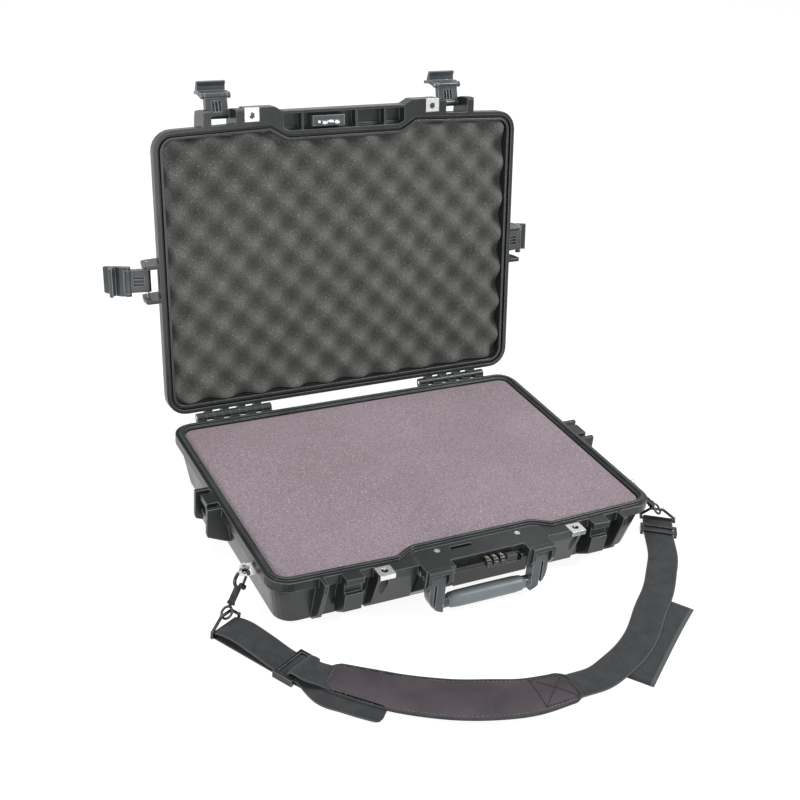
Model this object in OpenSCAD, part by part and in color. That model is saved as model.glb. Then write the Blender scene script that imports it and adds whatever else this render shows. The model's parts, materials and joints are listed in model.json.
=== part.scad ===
// Hard case for a laptop: two deep shells on a pin hinge, four double-throw latches, a folding
// handle, a dial lock, foam linings and a shoulder strap. Millimetres, +Z up, front is -Y, and the
// origin is on the floor under the middle of the base. The lid stands open against its stop.

/* [Case] */
// Width over the parting flange
case_w = 508; // [460:1:560]
// Depth over the parting flange at the corners
case_d = 364.7; // [330:0.1:420]
// Height of the base, floor to parting plane
base_h = 69; // [62:0.5:90]
// Height of the lid above the parting plane
lid_h = 55; // [48:0.5:80]
// Corner radius in plan
corner_r = 26; // [18:1:36]
// Thickness of the shell walls
wall = 4; // [3:0.5:5]
// Height of the flange band on each shell
flange_h = 12; // [9:0.5:14]
// How far the wall steps in under the flange
flange_step = 5; // [4:0.5:7]
// Extra lean of the walls at the floor and at the lid top
draft = 10; // [6:0.5:14]
// Gap between the two flanges when shut
parting_gap = 0.4; // [0.2:0.1:1]
// Angle that the lid stands open
lid_open = 99.08; // [0:0.01:110]

/* [Front notch] */
// How far the front edge bows out from the corners to the notch
bow = 5; // [2:0.5:8]
// Half width of the notch at the shoulders
shoulder_x = 100; // [92:1:110]
// Half width of the notch floor
notch_x = 78; // [70:1:86]
// How deep the notch is
notch_depth = 13; // [10:0.5:16]

/* [Seal] */
// Distance from the flange edge to the tongue
tongue_inset = 5.5; // [4:0.5:7]
// Thickness of the tongue
tongue_t = 3; // [2:0.5:3.5]
// Height of the tongue above the parting plane
tongue_h = 3.5; // [2.5:0.5:5]
// Clearance of the tongue in the lid groove, each side
groove_gap = 0.5; // [0.3:0.1:0.8]
// Height of the rubber seal
seal_h = 2; // [1.5:0.1:3]

/* [Linings] */
// Inset of the foam from the flange edge
foam_inset = 12; // [11.5:0.5:16]
// Gap all round a foam block
foam_gap = 0.4; // [0.3:0.1:1]
// Depth of the waves in the lid foam
wave_depth = 12; // [6:0.5:16]
// Distance between dimples of the lid foam, sideways
wave_x = 48.6; // [40:0.1:60]
// Distance between dimples of the lid foam, front to back
wave_y = 49.7; // [40:0.1:60]
// Drop of the base foam below the parting plane
foam_drop = 1; // [0.5:0.5:6]

/* [Hinge] */
// Distance of the hinge pin behind the flange
hinge_back = 8.2; // [7.5:0.1:10]
// Height of the hinge pin above the parting plane
hinge_up = 2.13; // [1.5:0.01:3]
// Sideways place of each hinge
hinge_x = 164; // [150:1:175]
// Distance between neighbouring lid arms
hinge_pitch = 22.8; // [20:0.1:24]
// Number of lid arms in one hinge
hinge_arms = 4; // [3:1:4]
// Width of one lid arm
hinge_arm_w = 9.5; // [7:0.5:11]
// Radius of the knuckles
knuckle_r = 5.4; // [4.6:0.1:5.6]
// Radius of the steel hinge pin
hinge_pin_r = 2; // [1.5:0.1:2.4]
// Running clearance round a turning pin
run_gap = 0.06; // [0.03:0.01:0.1]
// Side gap between neighbouring moving parts
side_gap = 0.5; // [0.3:0.1:0.8]

/* [Latch stations] */
// Sideways place of the two front latches
station_x = 163; // [155:1:168]
// Place of the side latches, towards the hinge from the middle
station_y = 5.5; // [-10:0.5:20]
// How far the lid ears and base fins reach out of the flange
ear_out = 18; // [15:0.5:18]
// Height of the latch pivot above the parting plane
latch_pivot_up = 28; // [24:0.5:32]
// Distance of the latch pivot out of the flange
latch_pivot_out = 9; // [7:0.5:10]
// Half gap between the ears of a front latch
front_ear_gap = 16; // [15.5:0.5:17]
// Half gap between the ears and fins of a side latch
side_ear_gap = 19.5; // [19.5:0.5:21]
// Width of a front latch ear
front_ear_w = 10; // [8:0.5:11]
// Width of a side latch ear or fin
fin_w = 5; // [4:0.5:7]

/* [Latches] */
// Width of the latch lever
lever_w = 38; // [34:0.5:38]
// Width of the latch arm
arm_w = 29; // [24:0.5:29.5]
// Thickness of the latch lever plate
lever_t = 5.5; // [4:0.5:7]
// Length of the flared finger tab at the end of the lever
tab_len = 19; // [14:0.5:22]
// Angle that the finger tab flares outwards
tab_flare = 18; // [10:1:24]
// Thickness of the finger tab
tab_t = 4; // [3:0.5:5]
// Distance of the lever pivot out of the flange, latched
lever_pivot_out = 22.3; // [22:0.1:26]
// Height of the lever pivot above the parting plane, latched
lever_pivot_up = 8; // [6:0.5:12]
// Radius of the latch knuckles
latch_knuckle_r = 3.9; // [3.5:0.1:4]
// Radius of the latch pins
latch_pin_r = 1.6; // [1.2:0.1:1.8]
// Angle that the arms are swung out from latched
arm_swing = 62; // [0:1:70]
// Angle that the front levers are swung on their arms
front_swing = 105; // [0:1:105]
// Angle that the left lever is swung on its arm
left_swing = 61; // [0:1:105]
// Angle that the right lever is swung on its arm
right_swing = 93; // [0:1:105]

/* [Latch strikes] */
// Half width of a strike block
strike_w = 11; // [9:0.5:12]
// How far a strike block stands out of the flange
strike_out = 14; // [12:0.5:15]
// Height of the lip that a claw pulls on
strike_lip = 7.5; // [6.5:0.5:10]
// Depth that a claw reaches behind the lip
claw_bite = 4.5; // [3:0.5:5.5]
// Gap between claw and lip
claw_gap = 0.5; // [0.3:0.1:1]

/* [Padlock plates] */
// Sideways place of the padlock eyes
eye_x = 126.3; // [122:0.1:130]
// Distance of the padlock eyes out of the case corner line
eye_out = 13; // [11:0.5:14]
// Radius of a padlock eye
eye_r = 4; // [3:0.25:4.5]
// Width of a padlock plate
eye_plate_w = 19; // [15:0.5:20]
// Length of a padlock plate
eye_plate_l = 15; // [12:0.5:16]
// Thickness of the padlock plates
plate_t = 2.5; // [1.5:0.1:3]
// Height of the bent front lip of a padlock plate
plate_lip = 6; // [4:0.5:8]

/* [Lock cover] */
// Half width of the lock cover
cover_x = 84; // [82:0.5:88]
// How far the cover stands out of the case corner line
cover_out = 33.6; // [32:0.1:38]
// Height of the cover front below the parting plane
cover_front_h = 24; // [20:0.5:26]
// Radius of the cover screws' heads
screw_r = 3.4; // [2.5:0.1:4]
// Sideways place of the top screws
screw_x = 53.4; // [50:0.1:58]
// Left end of the lock recess
lock_left = 47; // [44:0.5:49]
// Right end of the lock recess
lock_right = 50; // [46:0.5:51]
// Depth of the lock recess from the cover front
lock_deep = 13; // [12:0.5:15]
// Drop of the lock body top below the parting plane
lock_drop = 8; // [7:0.5:10]
// Width of one number dial
dial_w = 6; // [4:0.5:7]
// Distance between dials
dial_pitch = 9.3; // [8:0.1:10]
// Radius of a dial
dial_r = 6.2; // [5:0.1:7]
// Sideways place of the middle dial
dial_x = 7.3; // [4:0.1:9]
// Width of the slide button
button_w = 13; // [10:0.5:15]
// Travel of the slide button towards locked
button_travel = 6; // [4:0.5:7]
// Travel of the catch that the button drives
catch_travel = 4; // [3.5:0.1:4.5]
// Sideways place of the hasp
hasp_x = -23; // [-25:0.5:-20]
// Distance between the hasp loops
hasp_pitch = 17; // [14:0.5:18]
// Outer radius of a hasp loop
hasp_r = 4.5; // [4:0.1:5]
// Thickness of the hasp
hasp_t = 3; // [2:0.1:3.5]

/* [Handle] */
// Half width over the handle arms
handle_x = 78; // [76.5:0.5:79]
// Width of a handle arm
handle_arm_w = 20; // [16:0.5:21]
// Height of the handle pivot below the parting plane
handle_drop = 12; // [11:0.5:14]
// Distance of the handle pivot out of the case corner line
handle_out = 28; // [27:0.5:30]
// Length of the handle from its pivot to the middle of the grip
handle_len = 39; // [34:0.5:42]
// Thickness of a handle arm
handle_t = 13; // [10:0.5:14]
// Radius of the grip
grip_r = 10; // [8:0.5:11]
// Radius of the bar in the grip
grip_bar_r = 5.5; // [4:0.5:6.5]
// Radius of the handle pins
handle_pin_r = 2.5; // [2:0.1:3]
// How far the handle brackets stand out of the cover
bracket_out = 6; // [4:0.5:8]

/* [Strap fittings] */
// Place of the strap lugs, towards the front from the middle
lug_y = 123; // [110:1:130]
// Drop of the lug eye below the parting plane
lug_drop = 14; // [13:0.5:17]
// Distance of the lug eye out of the flange
lug_out = 8; // [6:0.5:10]
// Radius of the lug eye
lug_eye_r = 5.5; // [4.5:0.5:6]
// Radius of the lug plate round its eye
lug_r = 9; // [8.5:0.5:10]
// Thickness of the lug plate
lug_t = 3; // [2:0.5:4]
// Radius of the wire of the snap hooks
hook_wire_r = 2; // [1.6:0.1:2.2]
// Mean radius of the snap hooks' round
hook_r = 10.5; // [10:0.5:12]
// Angle of the hanging hooks from upright
hang_tilt = 50; // [40:1:56]
// Radius of the swivel eye
head_r = 7; // [6.5:0.1:8]
// Radius of the swivel stem
stem_r = 2; // [1.6:0.1:2.2]
// Radius of the wire of the strap loops
loop_wire_r = 1.8; // [1.4:0.1:2.2]
// Height of a strap loop over its bar
loop_rise = 17; // [14:0.5:22]
// Lean of a strap loop away from the case
loop_lean = 4; // [2:0.5:8]
// Half length of the short top of a strap loop
loop_top = 8; // [7:0.5:10]
// Width of the strap webbing
web_w = 38; // [32:1:42]
// Thickness of the strap webbing
web_t = 1.8; // [1.4:0.1:2.2]

/* [Shoulder pad] */
// Width of the shoulder pad
pad_w = 56; // [48:1:62]
// Thickness of the shoulder pad
pad_t = 9; // [6:0.5:12]

/* [Hidden] */

$fn = 48;
eps = 0.01;
arc_steps = 6;

shell_black = "#3b3d3e";
latch_black = "#2c2e30";
steel = "#c9cbcc";
chrome = "#dfe1e3";
web_black = "#46484a";

front_y = -case_d / 2;
back_y = case_d / 2;
lid_z = base_h + parting_gap;
top_z = base_h + lid_h;
notch_y = front_y - bow + notch_depth;

// ---- plan outline of the parting flange ----
OUTLINE = [[-case_w / 2, front_y, corner_r], [-shoulder_x, front_y - bow, 16],
    [-notch_x, notch_y, 16], [notch_x, notch_y, 16], [shoulder_x, front_y - bow, 16],
    [case_w / 2, front_y, corner_r], [case_w / 2, back_y, corner_r],
    [-case_w / 2, back_y, corner_r]];

function xy(p) = [p[0], p[1]];
function unit(v) = v / norm(v);
function turn(p, q, s) = (q[0] - p[0]) * (s[1] - q[1]) - (q[1] - p[1]) * (s[0] - q[0]);

// Points of one corner q between p and s, moved inwards by d and rounded
function corner(p, q, s, r, d) =
    let (a = unit(p - q), b = unit(s - q), side = turn(p, q, s) > 0 ? 1 : -1,
         half = acos(a * b) / 2, r_in = max(1, r - side * d), mid = unit(a + b),
         tip = q + mid * side * d / sin(half), c = tip + mid * r_in / sin(half),
         t0 = tip + a * r_in / tan(half), a0 = atan2(t0[1] - c[1], t0[0] - c[0]),
         sweep = side * (180 - 2 * half))
    [for (k = [0 : arc_steps]) c + r_in * [cos(a0 + sweep * k / arc_steps),
                                           sin(a0 + sweep * k / arc_steps)]];

function rounded(path, d = 0) = let (n = len(path))
    [for (i = [0 : n - 1]) each corner(xy(path[(i + n - 1) % n]), xy(path[i]),
                                       xy(path[(i + 1) % n]), path[i][2], d)];

function box_path(x, y0, y1, r) = [[-x, y0, r], [x, y0, r], [x, y1, r], [-x, y1, r]];

module slab(path, z0, z1, d = 0) {
    translate([0, 0, z0]) linear_extrude(z1 - z0) polygon(rounded(path, d));
}

// A box given by its two corners
module block(a, b) {
    translate(a) cube(b - a);
}

// A profile of [y, z] points drawn along X
module along_x(x0, x1, points) {
    translate([x0, 0, 0]) rotate([90, 0, 90]) linear_extrude(x1 - x0) polygon(points);
}

module rod_x(x0, x1, y, z, r) {
    translate([x0, y, z]) rotate([0, 90, 0]) cylinder(r = r, h = x1 - x0);
}

// ---- shells ----
module wall_slab(z, inset, r) {
    translate([0, 0, z]) linear_extrude(eps)
        polygon(rounded(box_path(case_w / 2 - inset, front_y + inset, back_y - inset, r)));
}

low_inset = flange_step + draft;
base_wall_z = base_h - flange_h;
lid_wall_z = lid_z + flange_h;
edge_drop = 5;

module base_wall() {
    hull() {
        wall_slab(0, low_inset + edge_drop - 1, corner_r - 6);
        wall_slab(edge_drop / 2, low_inset + 1, corner_r - 4);
        wall_slab(base_wall_z, flange_step, corner_r - 2);
    }
}

module base_hollow() {
    difference() {
        hull() {
            wall_slab(wall, low_inset + wall + 1, corner_r - 10);
            wall_slab(base_wall_z, foam_inset - 0.5, corner_r - 10);
        }
        notch_block(0, base_h, foam_inset - 0.5);
    }
    slab(OUTLINE, base_wall_z - eps, base_h + tongue_h + 1, foam_inset - 0.5);
}

module lid_wall() {
    hull() {
        wall_slab(top_z - eps, low_inset + edge_drop - 1, corner_r - 6);
        wall_slab(top_z - edge_drop / 2, low_inset + 1, corner_r - 4);
        wall_slab(lid_wall_z - eps, flange_step, corner_r - 2);
    }
}

module lid_hollow() {
    difference() {
        hull() {
            wall_slab(top_z - wall, low_inset + wall + 1, corner_r - 10);
            wall_slab(lid_wall_z, foam_inset - 0.5, corner_r - 10);
        }
        notch_block(lid_z, top_z, foam_inset - 0.5);
    }
    slab(OUTLINE, lid_z - 1, lid_wall_z + eps, foam_inset - 0.5);
}

module seal_ring(z0, z1, gap) {
    difference() {
        slab(OUTLINE, z0, z1, tongue_inset - gap);
        slab(OUTLINE, z0 - 1, z1 + 1, tongue_inset + tongue_t + gap);
    }
}

// ---- where the four latches sit: local x along the wall, -y outwards ----
front_face = front_y - bow * (case_w / 2 - station_x) / (case_w / 2 - shoulder_x);
STATIONS = [[-station_x, front_face, 0], [station_x, front_face, 0],
    [-case_w / 2, station_y, -90], [case_w / 2, station_y, 90]];
SWINGS = [front_swing, front_swing, left_swing, right_swing];
front_pair = [0, 1];
side_pair = [2, 3];

module at_station(i) {
    translate([STATIONS[i][0], STATIONS[i][1], 0]) rotate([0, 0, STATIONS[i][2]]) children();
}

pivot_y = -latch_pivot_out;
pivot_z = base_h + latch_pivot_up;
elbow_y = -lever_pivot_out;
elbow_z = base_h + lever_pivot_up;
ear_top = pivot_z + 9;
ear_root = flange_step + 8;

// One lid ear between x0 and x1, before its pin hole is drilled
module ear(x0, x1) {
    along_x(x0, x1, [[ear_root, lid_z], [-ear_out + 2, lid_z], [-ear_out, lid_z + 2],
        [-ear_out, pivot_z - 10], [pivot_y - 6, ear_top - 3], [pivot_y, ear_top],
        [ear_root, ear_top + 4]]);
}

module ears(gap, w) {
    for (side = [-1, 1])
        ear(min(side * gap, side * (gap + w)), max(side * gap, side * (gap + w)));
}

module ear_bores(reach) {
    rod_x(-reach, reach, pivot_y, pivot_z, latch_pin_r);
}

fin_low = 31;
strike_top = base_h - strike_lip;
strike_low = strike_top - 13;
claw_in = strike_out - claw_bite;

// One side fin of the base, tapered off below
module fin(x0, x1) {
    along_x(x0, x1, [[ear_root, fin_low - 12], [flange_step, fin_low - 10],
        [-ear_out + 1, fin_low], [-ear_out, fin_low + 4], [-ear_out, base_h], [ear_root, base_h]]);
}

// The block whose lip the claw pulls on, with its claw recess
module strike(low) {
    along_x(-strike_w, strike_w, [[ear_root, low - 14], [flange_step + 2, low - 12],
        [-strike_out + 3.5, low], [-strike_out + 0.6, strike_low],
        [-claw_in + 1, strike_low], [-claw_in + 1, strike_top], [-strike_out, strike_top],
        [-strike_out, base_h], [ear_root, base_h]]);
}

// ---- front of the base beside the lock ----
station_in = station_x - 33;
station_out = station_x + 32;
rib_w = 5;
pocket_low = 19;

module front_rib(x0, x1, out) {
    along_x(x0, x1, [[front_y + 16, 2], [front_y + 12, 3], [front_y - 2, pocket_low - 4],
        [front_face - out + 1.5, base_wall_z], [front_face - out, base_h],
        [front_y + 16, base_h]]);
}

module base_front() {
    for (side = [-1, 1]) {
        x_in = side > 0 ? station_in : -station_in - rib_w;
        x_out = side > 0 ? station_out : -station_out - rib_w;
        front_rib(x_in, x_in + rib_w, strike_out);
        front_rib(x_out, x_out + rib_w, strike_out);
        x_wall = side > 0 ? cover_x + 1 : -station_in;
        front_rib(x_wall, x_wall + station_in - cover_x - 1, strike_out + 1);
    }
}

eye_y = front_y - eye_out;
hinge_y = back_y + hinge_back;
hinge_z = base_h + hinge_up;
knuckle_w = hinge_pitch - hinge_arm_w - 2 * side_gap;
hinge_half = (hinge_arms / 2) * hinge_pitch + knuckle_w / 2;

module base_knuckle(x) {
    along_x(x - knuckle_w / 2, x + knuckle_w / 2, [[back_y - flange_step - 6, base_wall_z - 6],
        [back_y + 2, base_wall_z - 3], [hinge_y + knuckle_r - 0.8, hinge_z - 4],
        [hinge_y, hinge_z], [hinge_y - knuckle_r + 0.9, hinge_z - 1.8],
        [back_y - 2, base_h - eps], [back_y - flange_step - 6, base_h - eps]]);
    rod_x(x - knuckle_w / 2, x + knuckle_w / 2, hinge_y, hinge_z, knuckle_r);
}

module base_shell() {
    color(shell_black) difference() {
        union() {
            difference() {
                union() {
                    base_wall();
                    slab(OUTLINE, base_wall_z, base_h);
                    seal_ring(base_h - eps, base_h + tongue_h, 0);
                    base_front();
                    for (i = front_pair) at_station(i) strike(24);
                    for (i = side_pair) at_station(i) {
                        strike(fin_low);
                        for (side = [-1, 1])
                            fin(side > 0 ? side_ear_gap : -side_ear_gap - fin_w,
                                side > 0 ? side_ear_gap + fin_w : -side_ear_gap);
                    }
                }
                base_hollow();
            }
            for (side = [-1, 1], k = [0 : hinge_arms])
                base_knuckle(side * hinge_x + (k - hinge_arms / 2) * hinge_pitch);
        }
        for (side = [-1, 1])
            rod_x(side * hinge_x - hinge_half - 1, side * hinge_x + hinge_half + 1,
                  hinge_y, hinge_z, hinge_pin_r);
        for (side = [-1, 1]) {
            translate([side * eye_x, eye_y, -1]) cylinder(r = eye_r + 1, h = base_h + 2);
            eye_seat(side, base_h - plate_t, base_h + 1, 0.2);
            lug_root(side, 0.1);
        }
    }
}

// ---- padlock plates: flat steel with a bent front lip ----
module eye_seat(side, z0, z1, gap) {
    block([side * eye_x - eye_plate_w / 2 - gap, eye_y - eye_plate_l / 2 - gap, z0],
          [side * eye_x + eye_plate_w / 2 + gap, eye_y + eye_plate_l / 2 + gap, z1]);
}

module plate_front(side, z0, z1, gap) {
    block([side * eye_x - eye_plate_w / 2 - gap, eye_y - eye_plate_l / 2 - plate_t + 0.5 - gap, z0],
          [side * eye_x + eye_plate_w / 2 + gap, eye_y - eye_plate_l / 2 + 0.5 + gap, z1]);
}

module padlock_plate(side, z0, lip_z) {
    difference() {
        union() {
            eye_seat(side, z0, z0 + plate_t, 0);
            plate_front(side, lip_z, lip_z + plate_lip, 0);
        }
        translate([side * eye_x, eye_y, z0 - plate_lip - 1])
            cylinder(r = eye_r, h = 2 * plate_lip + plate_t + 2);
    }
}

module base_padlock_plates() {
    color(steel) for (side = [-1, 1])
        padlock_plate(side, base_h - plate_t, base_h - plate_lip);
}

module lid_padlock_plates() {
    color(steel) lid_pose() for (side = [-1, 1]) padlock_plate(side, lid_z, lid_z);
}

// Block in front of the lining where the notch cuts into the case
module notch_block(z0, z1, inset) {
    half = shoulder_x + 1 - foam_inset / 2 + inset - foam_inset;
    block([-half, front_y - 1, z0], [half, notch_y + inset, z1]);
}

module base_foam() {
    color("#9b8f96") {
        difference() {
            hull() {
                wall_slab(wall + foam_gap, low_inset + wall + 1 + foam_gap, corner_r - 10);
                wall_slab(base_wall_z, foam_inset, corner_r - 10);
            }
            notch_block(0, base_h, foam_inset);
        }
        slab(OUTLINE, base_wall_z, base_h - foam_drop, foam_inset);
    }
}

// ---- lid, drawn shut and then swung open ----
module lid_pose() {
    translate([0, hinge_y, hinge_z]) rotate([-lid_open, 0, 0]) translate([0, -hinge_y, -hinge_z])
        children();
}

lip_y = front_y - 16.6;
LID_LIP = [[-shoulder_x - 37, front_y + 6, 1], [-shoulder_x - 37, front_y - 22.6, 2],
    [-shoulder_x + 4, front_y - 22.6, 4], [-cover_x - 1, lip_y, 4], [cover_x + 1, lip_y, 4],
    [shoulder_x - 4, front_y - 22.6, 4], [shoulder_x + 37, front_y - 22.6, 2],
    [shoulder_x + 37, front_y + 6, 1], [notch_x + 1, notch_y + 6, 1], [-notch_x - 1, notch_y + 6, 1]];
lip_t = 3.5;
recess_z = lid_wall_z + 2.5;
LIP_RIBS = [-58, 17, 58];

// The lip over the lock: a tray with ribs, open towards the base
module lid_front() {
    difference() {
        slab(LID_LIP, lid_z, recess_z + lip_t);
        block([-cover_x - 1, lip_y + lip_t, lid_z - 1], [cover_x + 1, notch_y, recess_z]);
    }
    for (x = LIP_RIBS)
        block([x - 1.5, lip_y + 1, lid_z + 2], [x + 1.5, notch_y + 1, recess_z + 1]);
}

seal_z = base_h + tongue_h + 0.3;
groove_back = back_y - tongue_inset + groove_gap;

module lid_arm(x) {
    along_x(x - hinge_arm_w / 2, x + hinge_arm_w / 2, [[hinge_y, hinge_z],
        [hinge_y + knuckle_r - 0.8, hinge_z + 3], [hinge_y + 1, lid_wall_z - 1],
        [back_y - flange_step - 4, lid_wall_z + 4],
        [back_y - flange_step - 4, seal_z + seal_h + 1], [groove_back + 1, seal_z + seal_h + 1],
        [groove_back + 1, lid_z + 1.5], [back_y - 1, lid_z + 1.5]]);
    rod_x(x - hinge_arm_w / 2, x + hinge_arm_w / 2, hinge_y, hinge_z, knuckle_r);
}

module lid_body() {
    difference() {
        union() {
            difference() {
                union() {
                    lid_wall();
                    slab(OUTLINE, lid_z, lid_wall_z);
                    lid_front();
                    for (i = front_pair) at_station(i) ears(front_ear_gap, front_ear_w);
                    for (i = side_pair) at_station(i) ears(side_ear_gap, fin_w);
                }
                lid_hollow();
                seal_ring(lid_z - 1, seal_z + seal_h, groove_gap);
            }
            for (side = [-1, 1], k = [0.5 : hinge_arms])
                lid_arm(side * hinge_x + (k - hinge_arms / 2) * hinge_pitch);
        }
        for (side = [-1, 1]) {
            rod_x(side * hinge_x - hinge_half, side * hinge_x + hinge_half,
                  hinge_y, hinge_z, hinge_pin_r + run_gap);
            translate([side * eye_x, eye_y, lid_z - 1]) cylinder(r = eye_r + 1, h = 30);
            eye_seat(side, lid_z - 1, lid_z + plate_t, 0.2);
            plate_front(side, lid_z - 1, lid_z + plate_lip + 0.2, 0.2);
        }
        for (i = front_pair) at_station(i) ear_bores(front_ear_gap + front_ear_w - 4);
        for (i = side_pair) at_station(i) ear_bores(side_ear_gap + fin_w + 1);
    }
}

module lid_shell() {
    color(shell_black) lid_pose() lid_body();
}

// ---- waved face of the lid foam: dimples and peaks by turns, half a wave apart ----
WAVE_AT = [-128.3, -53];
wave_turn = -1.5;
wave_lo = [for (k = [0, 1]) floor(-(k == 0 ? case_w / 2 : back_y) / ([wave_x, wave_y][k] / 2))
    - 1 - ceil(WAVE_AT[k] / ([wave_x, wave_y][k] / 2))];
wave_n = [ceil(2 * case_w / wave_x) + 5, ceil(4 * back_y / wave_y) + 5];

function wave_point(i, j, z) =
    let (s = (wave_lo[0] + i) * wave_x / 2, t = (wave_lo[1] + j) * wave_y / 2)
    [WAVE_AT[0] + s * cos(wave_turn) - t * sin(wave_turn),
     WAVE_AT[1] + s * sin(wave_turn) + t * cos(wave_turn), z];
function dimple(i, j) = (wave_lo[0] + wave_lo[1] + i + j) % 2 == 0 ? 1 : 0;

// Everything below the waved face
module wave_cutter(face_z) {
    nx = wave_n[0];
    ny = wave_n[1];
    low_z = face_z - 10;
    corners = [for (i = [0 : nx], j = [0 : ny]) wave_point(i, j, face_z + wave_depth * dimple(i, j))];
    middles = [for (i = [0 : nx - 1], j = [0 : ny - 1])
        wave_point(i + 0.5, j + 0.5, face_z + wave_depth / 2)];
    ground = [for (i = [0 : nx], j = [0 : ny]) wave_point(i, j, low_z)];
    n1 = len(corners);
    n2 = n1 + len(middles);
    row = ny + 1;
    tops = [for (i = [0 : nx - 1], j = [0 : ny - 1]) let (m = n1 + i * ny + j, a = i * row + j,
        q = [a, a + row, a + row + 1, a + 1]) for (k = [0 : 3]) [q[(k + 1) % 4], q[k], m]];
    sides = concat(
        [for (i = [0 : nx - 1]) [i * row, (i + 1) * row, n2 + (i + 1) * row, n2 + i * row]],
        [for (i = [0 : nx - 1]) let (a = i * row + ny) [a + row, a, n2 + a, n2 + a + row]],
        [for (j = [0 : ny - 1]) [j + 1, j, n2 + j, n2 + j + 1]],
        [for (j = [0 : ny - 1]) let (a = nx * row + j) [a, a + 1, n2 + a + 1, n2 + a]]);
    floor_rim = concat([for (i = [0 : nx]) n2 + i * row], [for (j = [1 : ny]) n2 + nx * row + j],
        [for (i = [nx - 1 : -1 : 0]) n2 + i * row + ny], [for (j = [ny - 1 : -1 : 1]) n2 + j]);
    polyhedron(points = concat(corners, middles, ground), faces = concat(tops, sides, [floor_rim]),
        convexity = 12);
}

module lid_foam() {
    color("#5a5a58") lid_pose() difference() {
        union() {
            difference() {
                hull() {
                    wall_slab(top_z - wall - foam_gap, low_inset + wall + 1 + foam_gap,
                              corner_r - 10);
                    wall_slab(lid_wall_z, foam_inset, corner_r - 10);
                }
                notch_block(lid_z, top_z, foam_inset);
            }
            slab(OUTLINE, lid_z + 0.3, lid_wall_z + eps, foam_inset);
        }
        wave_cutter(lid_z + 0.6);
    }
}

module lid_seal() {
    color("#1d1e1f") lid_pose()
        seal_ring(seal_z, seal_z + seal_h, 0);
}

// ---- hasp on the lid, for the catch in the lock cover ----
hasp_y = front_y - 0.6;
hasp_z = base_h - 5.5;
LOOPS = [hasp_x - hasp_pitch / 2, hasp_x + hasp_pitch / 2];

module hasp_plate() {
    color(latch_black) lid_pose() difference() {
        block([hasp_x - 22, hasp_y - 8, lid_z + 0.2], [hasp_x + 22, hasp_y + 5, recess_z]);
        block([hasp_x - 14, hasp_y - hasp_t / 2, lid_z - 1],
              [hasp_x + 14, hasp_y + hasp_t / 2, lid_z + 3.2]);
    }
}

module hasp_loops() {
    color(chrome) lid_pose() difference() {
        union() {
            block([hasp_x - 14, hasp_y - hasp_t / 2, lid_z], [hasp_x + 14, hasp_y + hasp_t / 2,
                   lid_z + 3.2]);
            for (x = LOOPS) {
                block([x - hasp_r, hasp_y - hasp_t / 2, hasp_z], [x + hasp_r,
                      hasp_y + hasp_t / 2, lid_z + 1]);
                translate([x, hasp_y + hasp_t / 2, hasp_z]) rotate([90, 0, 0])
                    cylinder(r = hasp_r, h = hasp_t);
            }
        }
        for (x = LOOPS) translate([x, hasp_y + hasp_t, hasp_z]) rotate([90, 0, 0])
            cylinder(r = hasp_r - 2, h = 2 * hasp_t);
    }
}

// ---- lock cover on the front of the base ----
cover_y = front_y - cover_out;
cover_low = base_h - cover_front_h;
cover_top = base_h - 0.1;
handle_y = front_y - handle_out;
handle_z = base_h - handle_drop;
lock_y = cover_y + lock_deep;
slot_x = 14;
arm_in = handle_x - handle_arm_w;
bracket_top = base_h + 1;
hub_r = handle_t / 2;

module cover_bracket(side) {
    x0 = side > 0 ? arm_in - 5 : -handle_x - 5;
    along_x(x0, x0 + handle_arm_w + 10, [[cover_y + 2, cover_low - 4], [cover_y - 1, cover_low],
        [cover_y - bracket_out, handle_z - 3], [cover_y - bracket_out, bracket_top - 1],
        [cover_y - bracket_out + 1, bracket_top], [cover_y + 2, bracket_top]]);
}

// Sloping underside of the cover, seen from the side
UNDER = [[cover_y + 1.5, cover_low], [front_y - 1, 18]];
under_dir = unit(UNDER[1] - UNDER[0]);
valve_at = 17;

module cover_block() {
    difference() {
        along_x(-cover_x, cover_x, [[front_y + 30, cover_top], [cover_y, cover_top],
            UNDER[0], UNDER[1], [front_y + 12, 3], [front_y + 30, 3]]);
        slab(OUTLINE, base_wall_z - 0.4, base_h + 5, -0.3);
        cover_back_cut();
    }
    for (side = [-1, 1]) cover_bracket(side);
}

// Clears the leaning front wall of the base
module cover_back_cut() {
    lean = (low_inset + 1 - flange_step) / (base_wall_z - edge_drop / 2);
    wall_y = front_y + flange_step - 0.4;
    along_x(-cover_x - 1, cover_x + 1, [[wall_y + (base_wall_z + 1) * lean, -1],
        [wall_y, base_wall_z], [wall_y, base_wall_z + 1], [front_y + 40, base_wall_z + 1],
        [front_y + 40, -1]]);
}

module handle_slot(side) {
    x0 = side > 0 ? arm_in - side_gap : -handle_x - side_gap;
    along_x(x0, x0 + handle_arm_w + 2 * side_gap, [[handle_y + hub_r + 1, -1],
        [handle_y + hub_r + 1, handle_z + hub_r - 2], [handle_y + hub_r - 2, handle_z + hub_r + 1],
        [cover_y - 20, handle_z + hub_r + 1], [cover_y - 20, -1]]);
}

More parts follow.
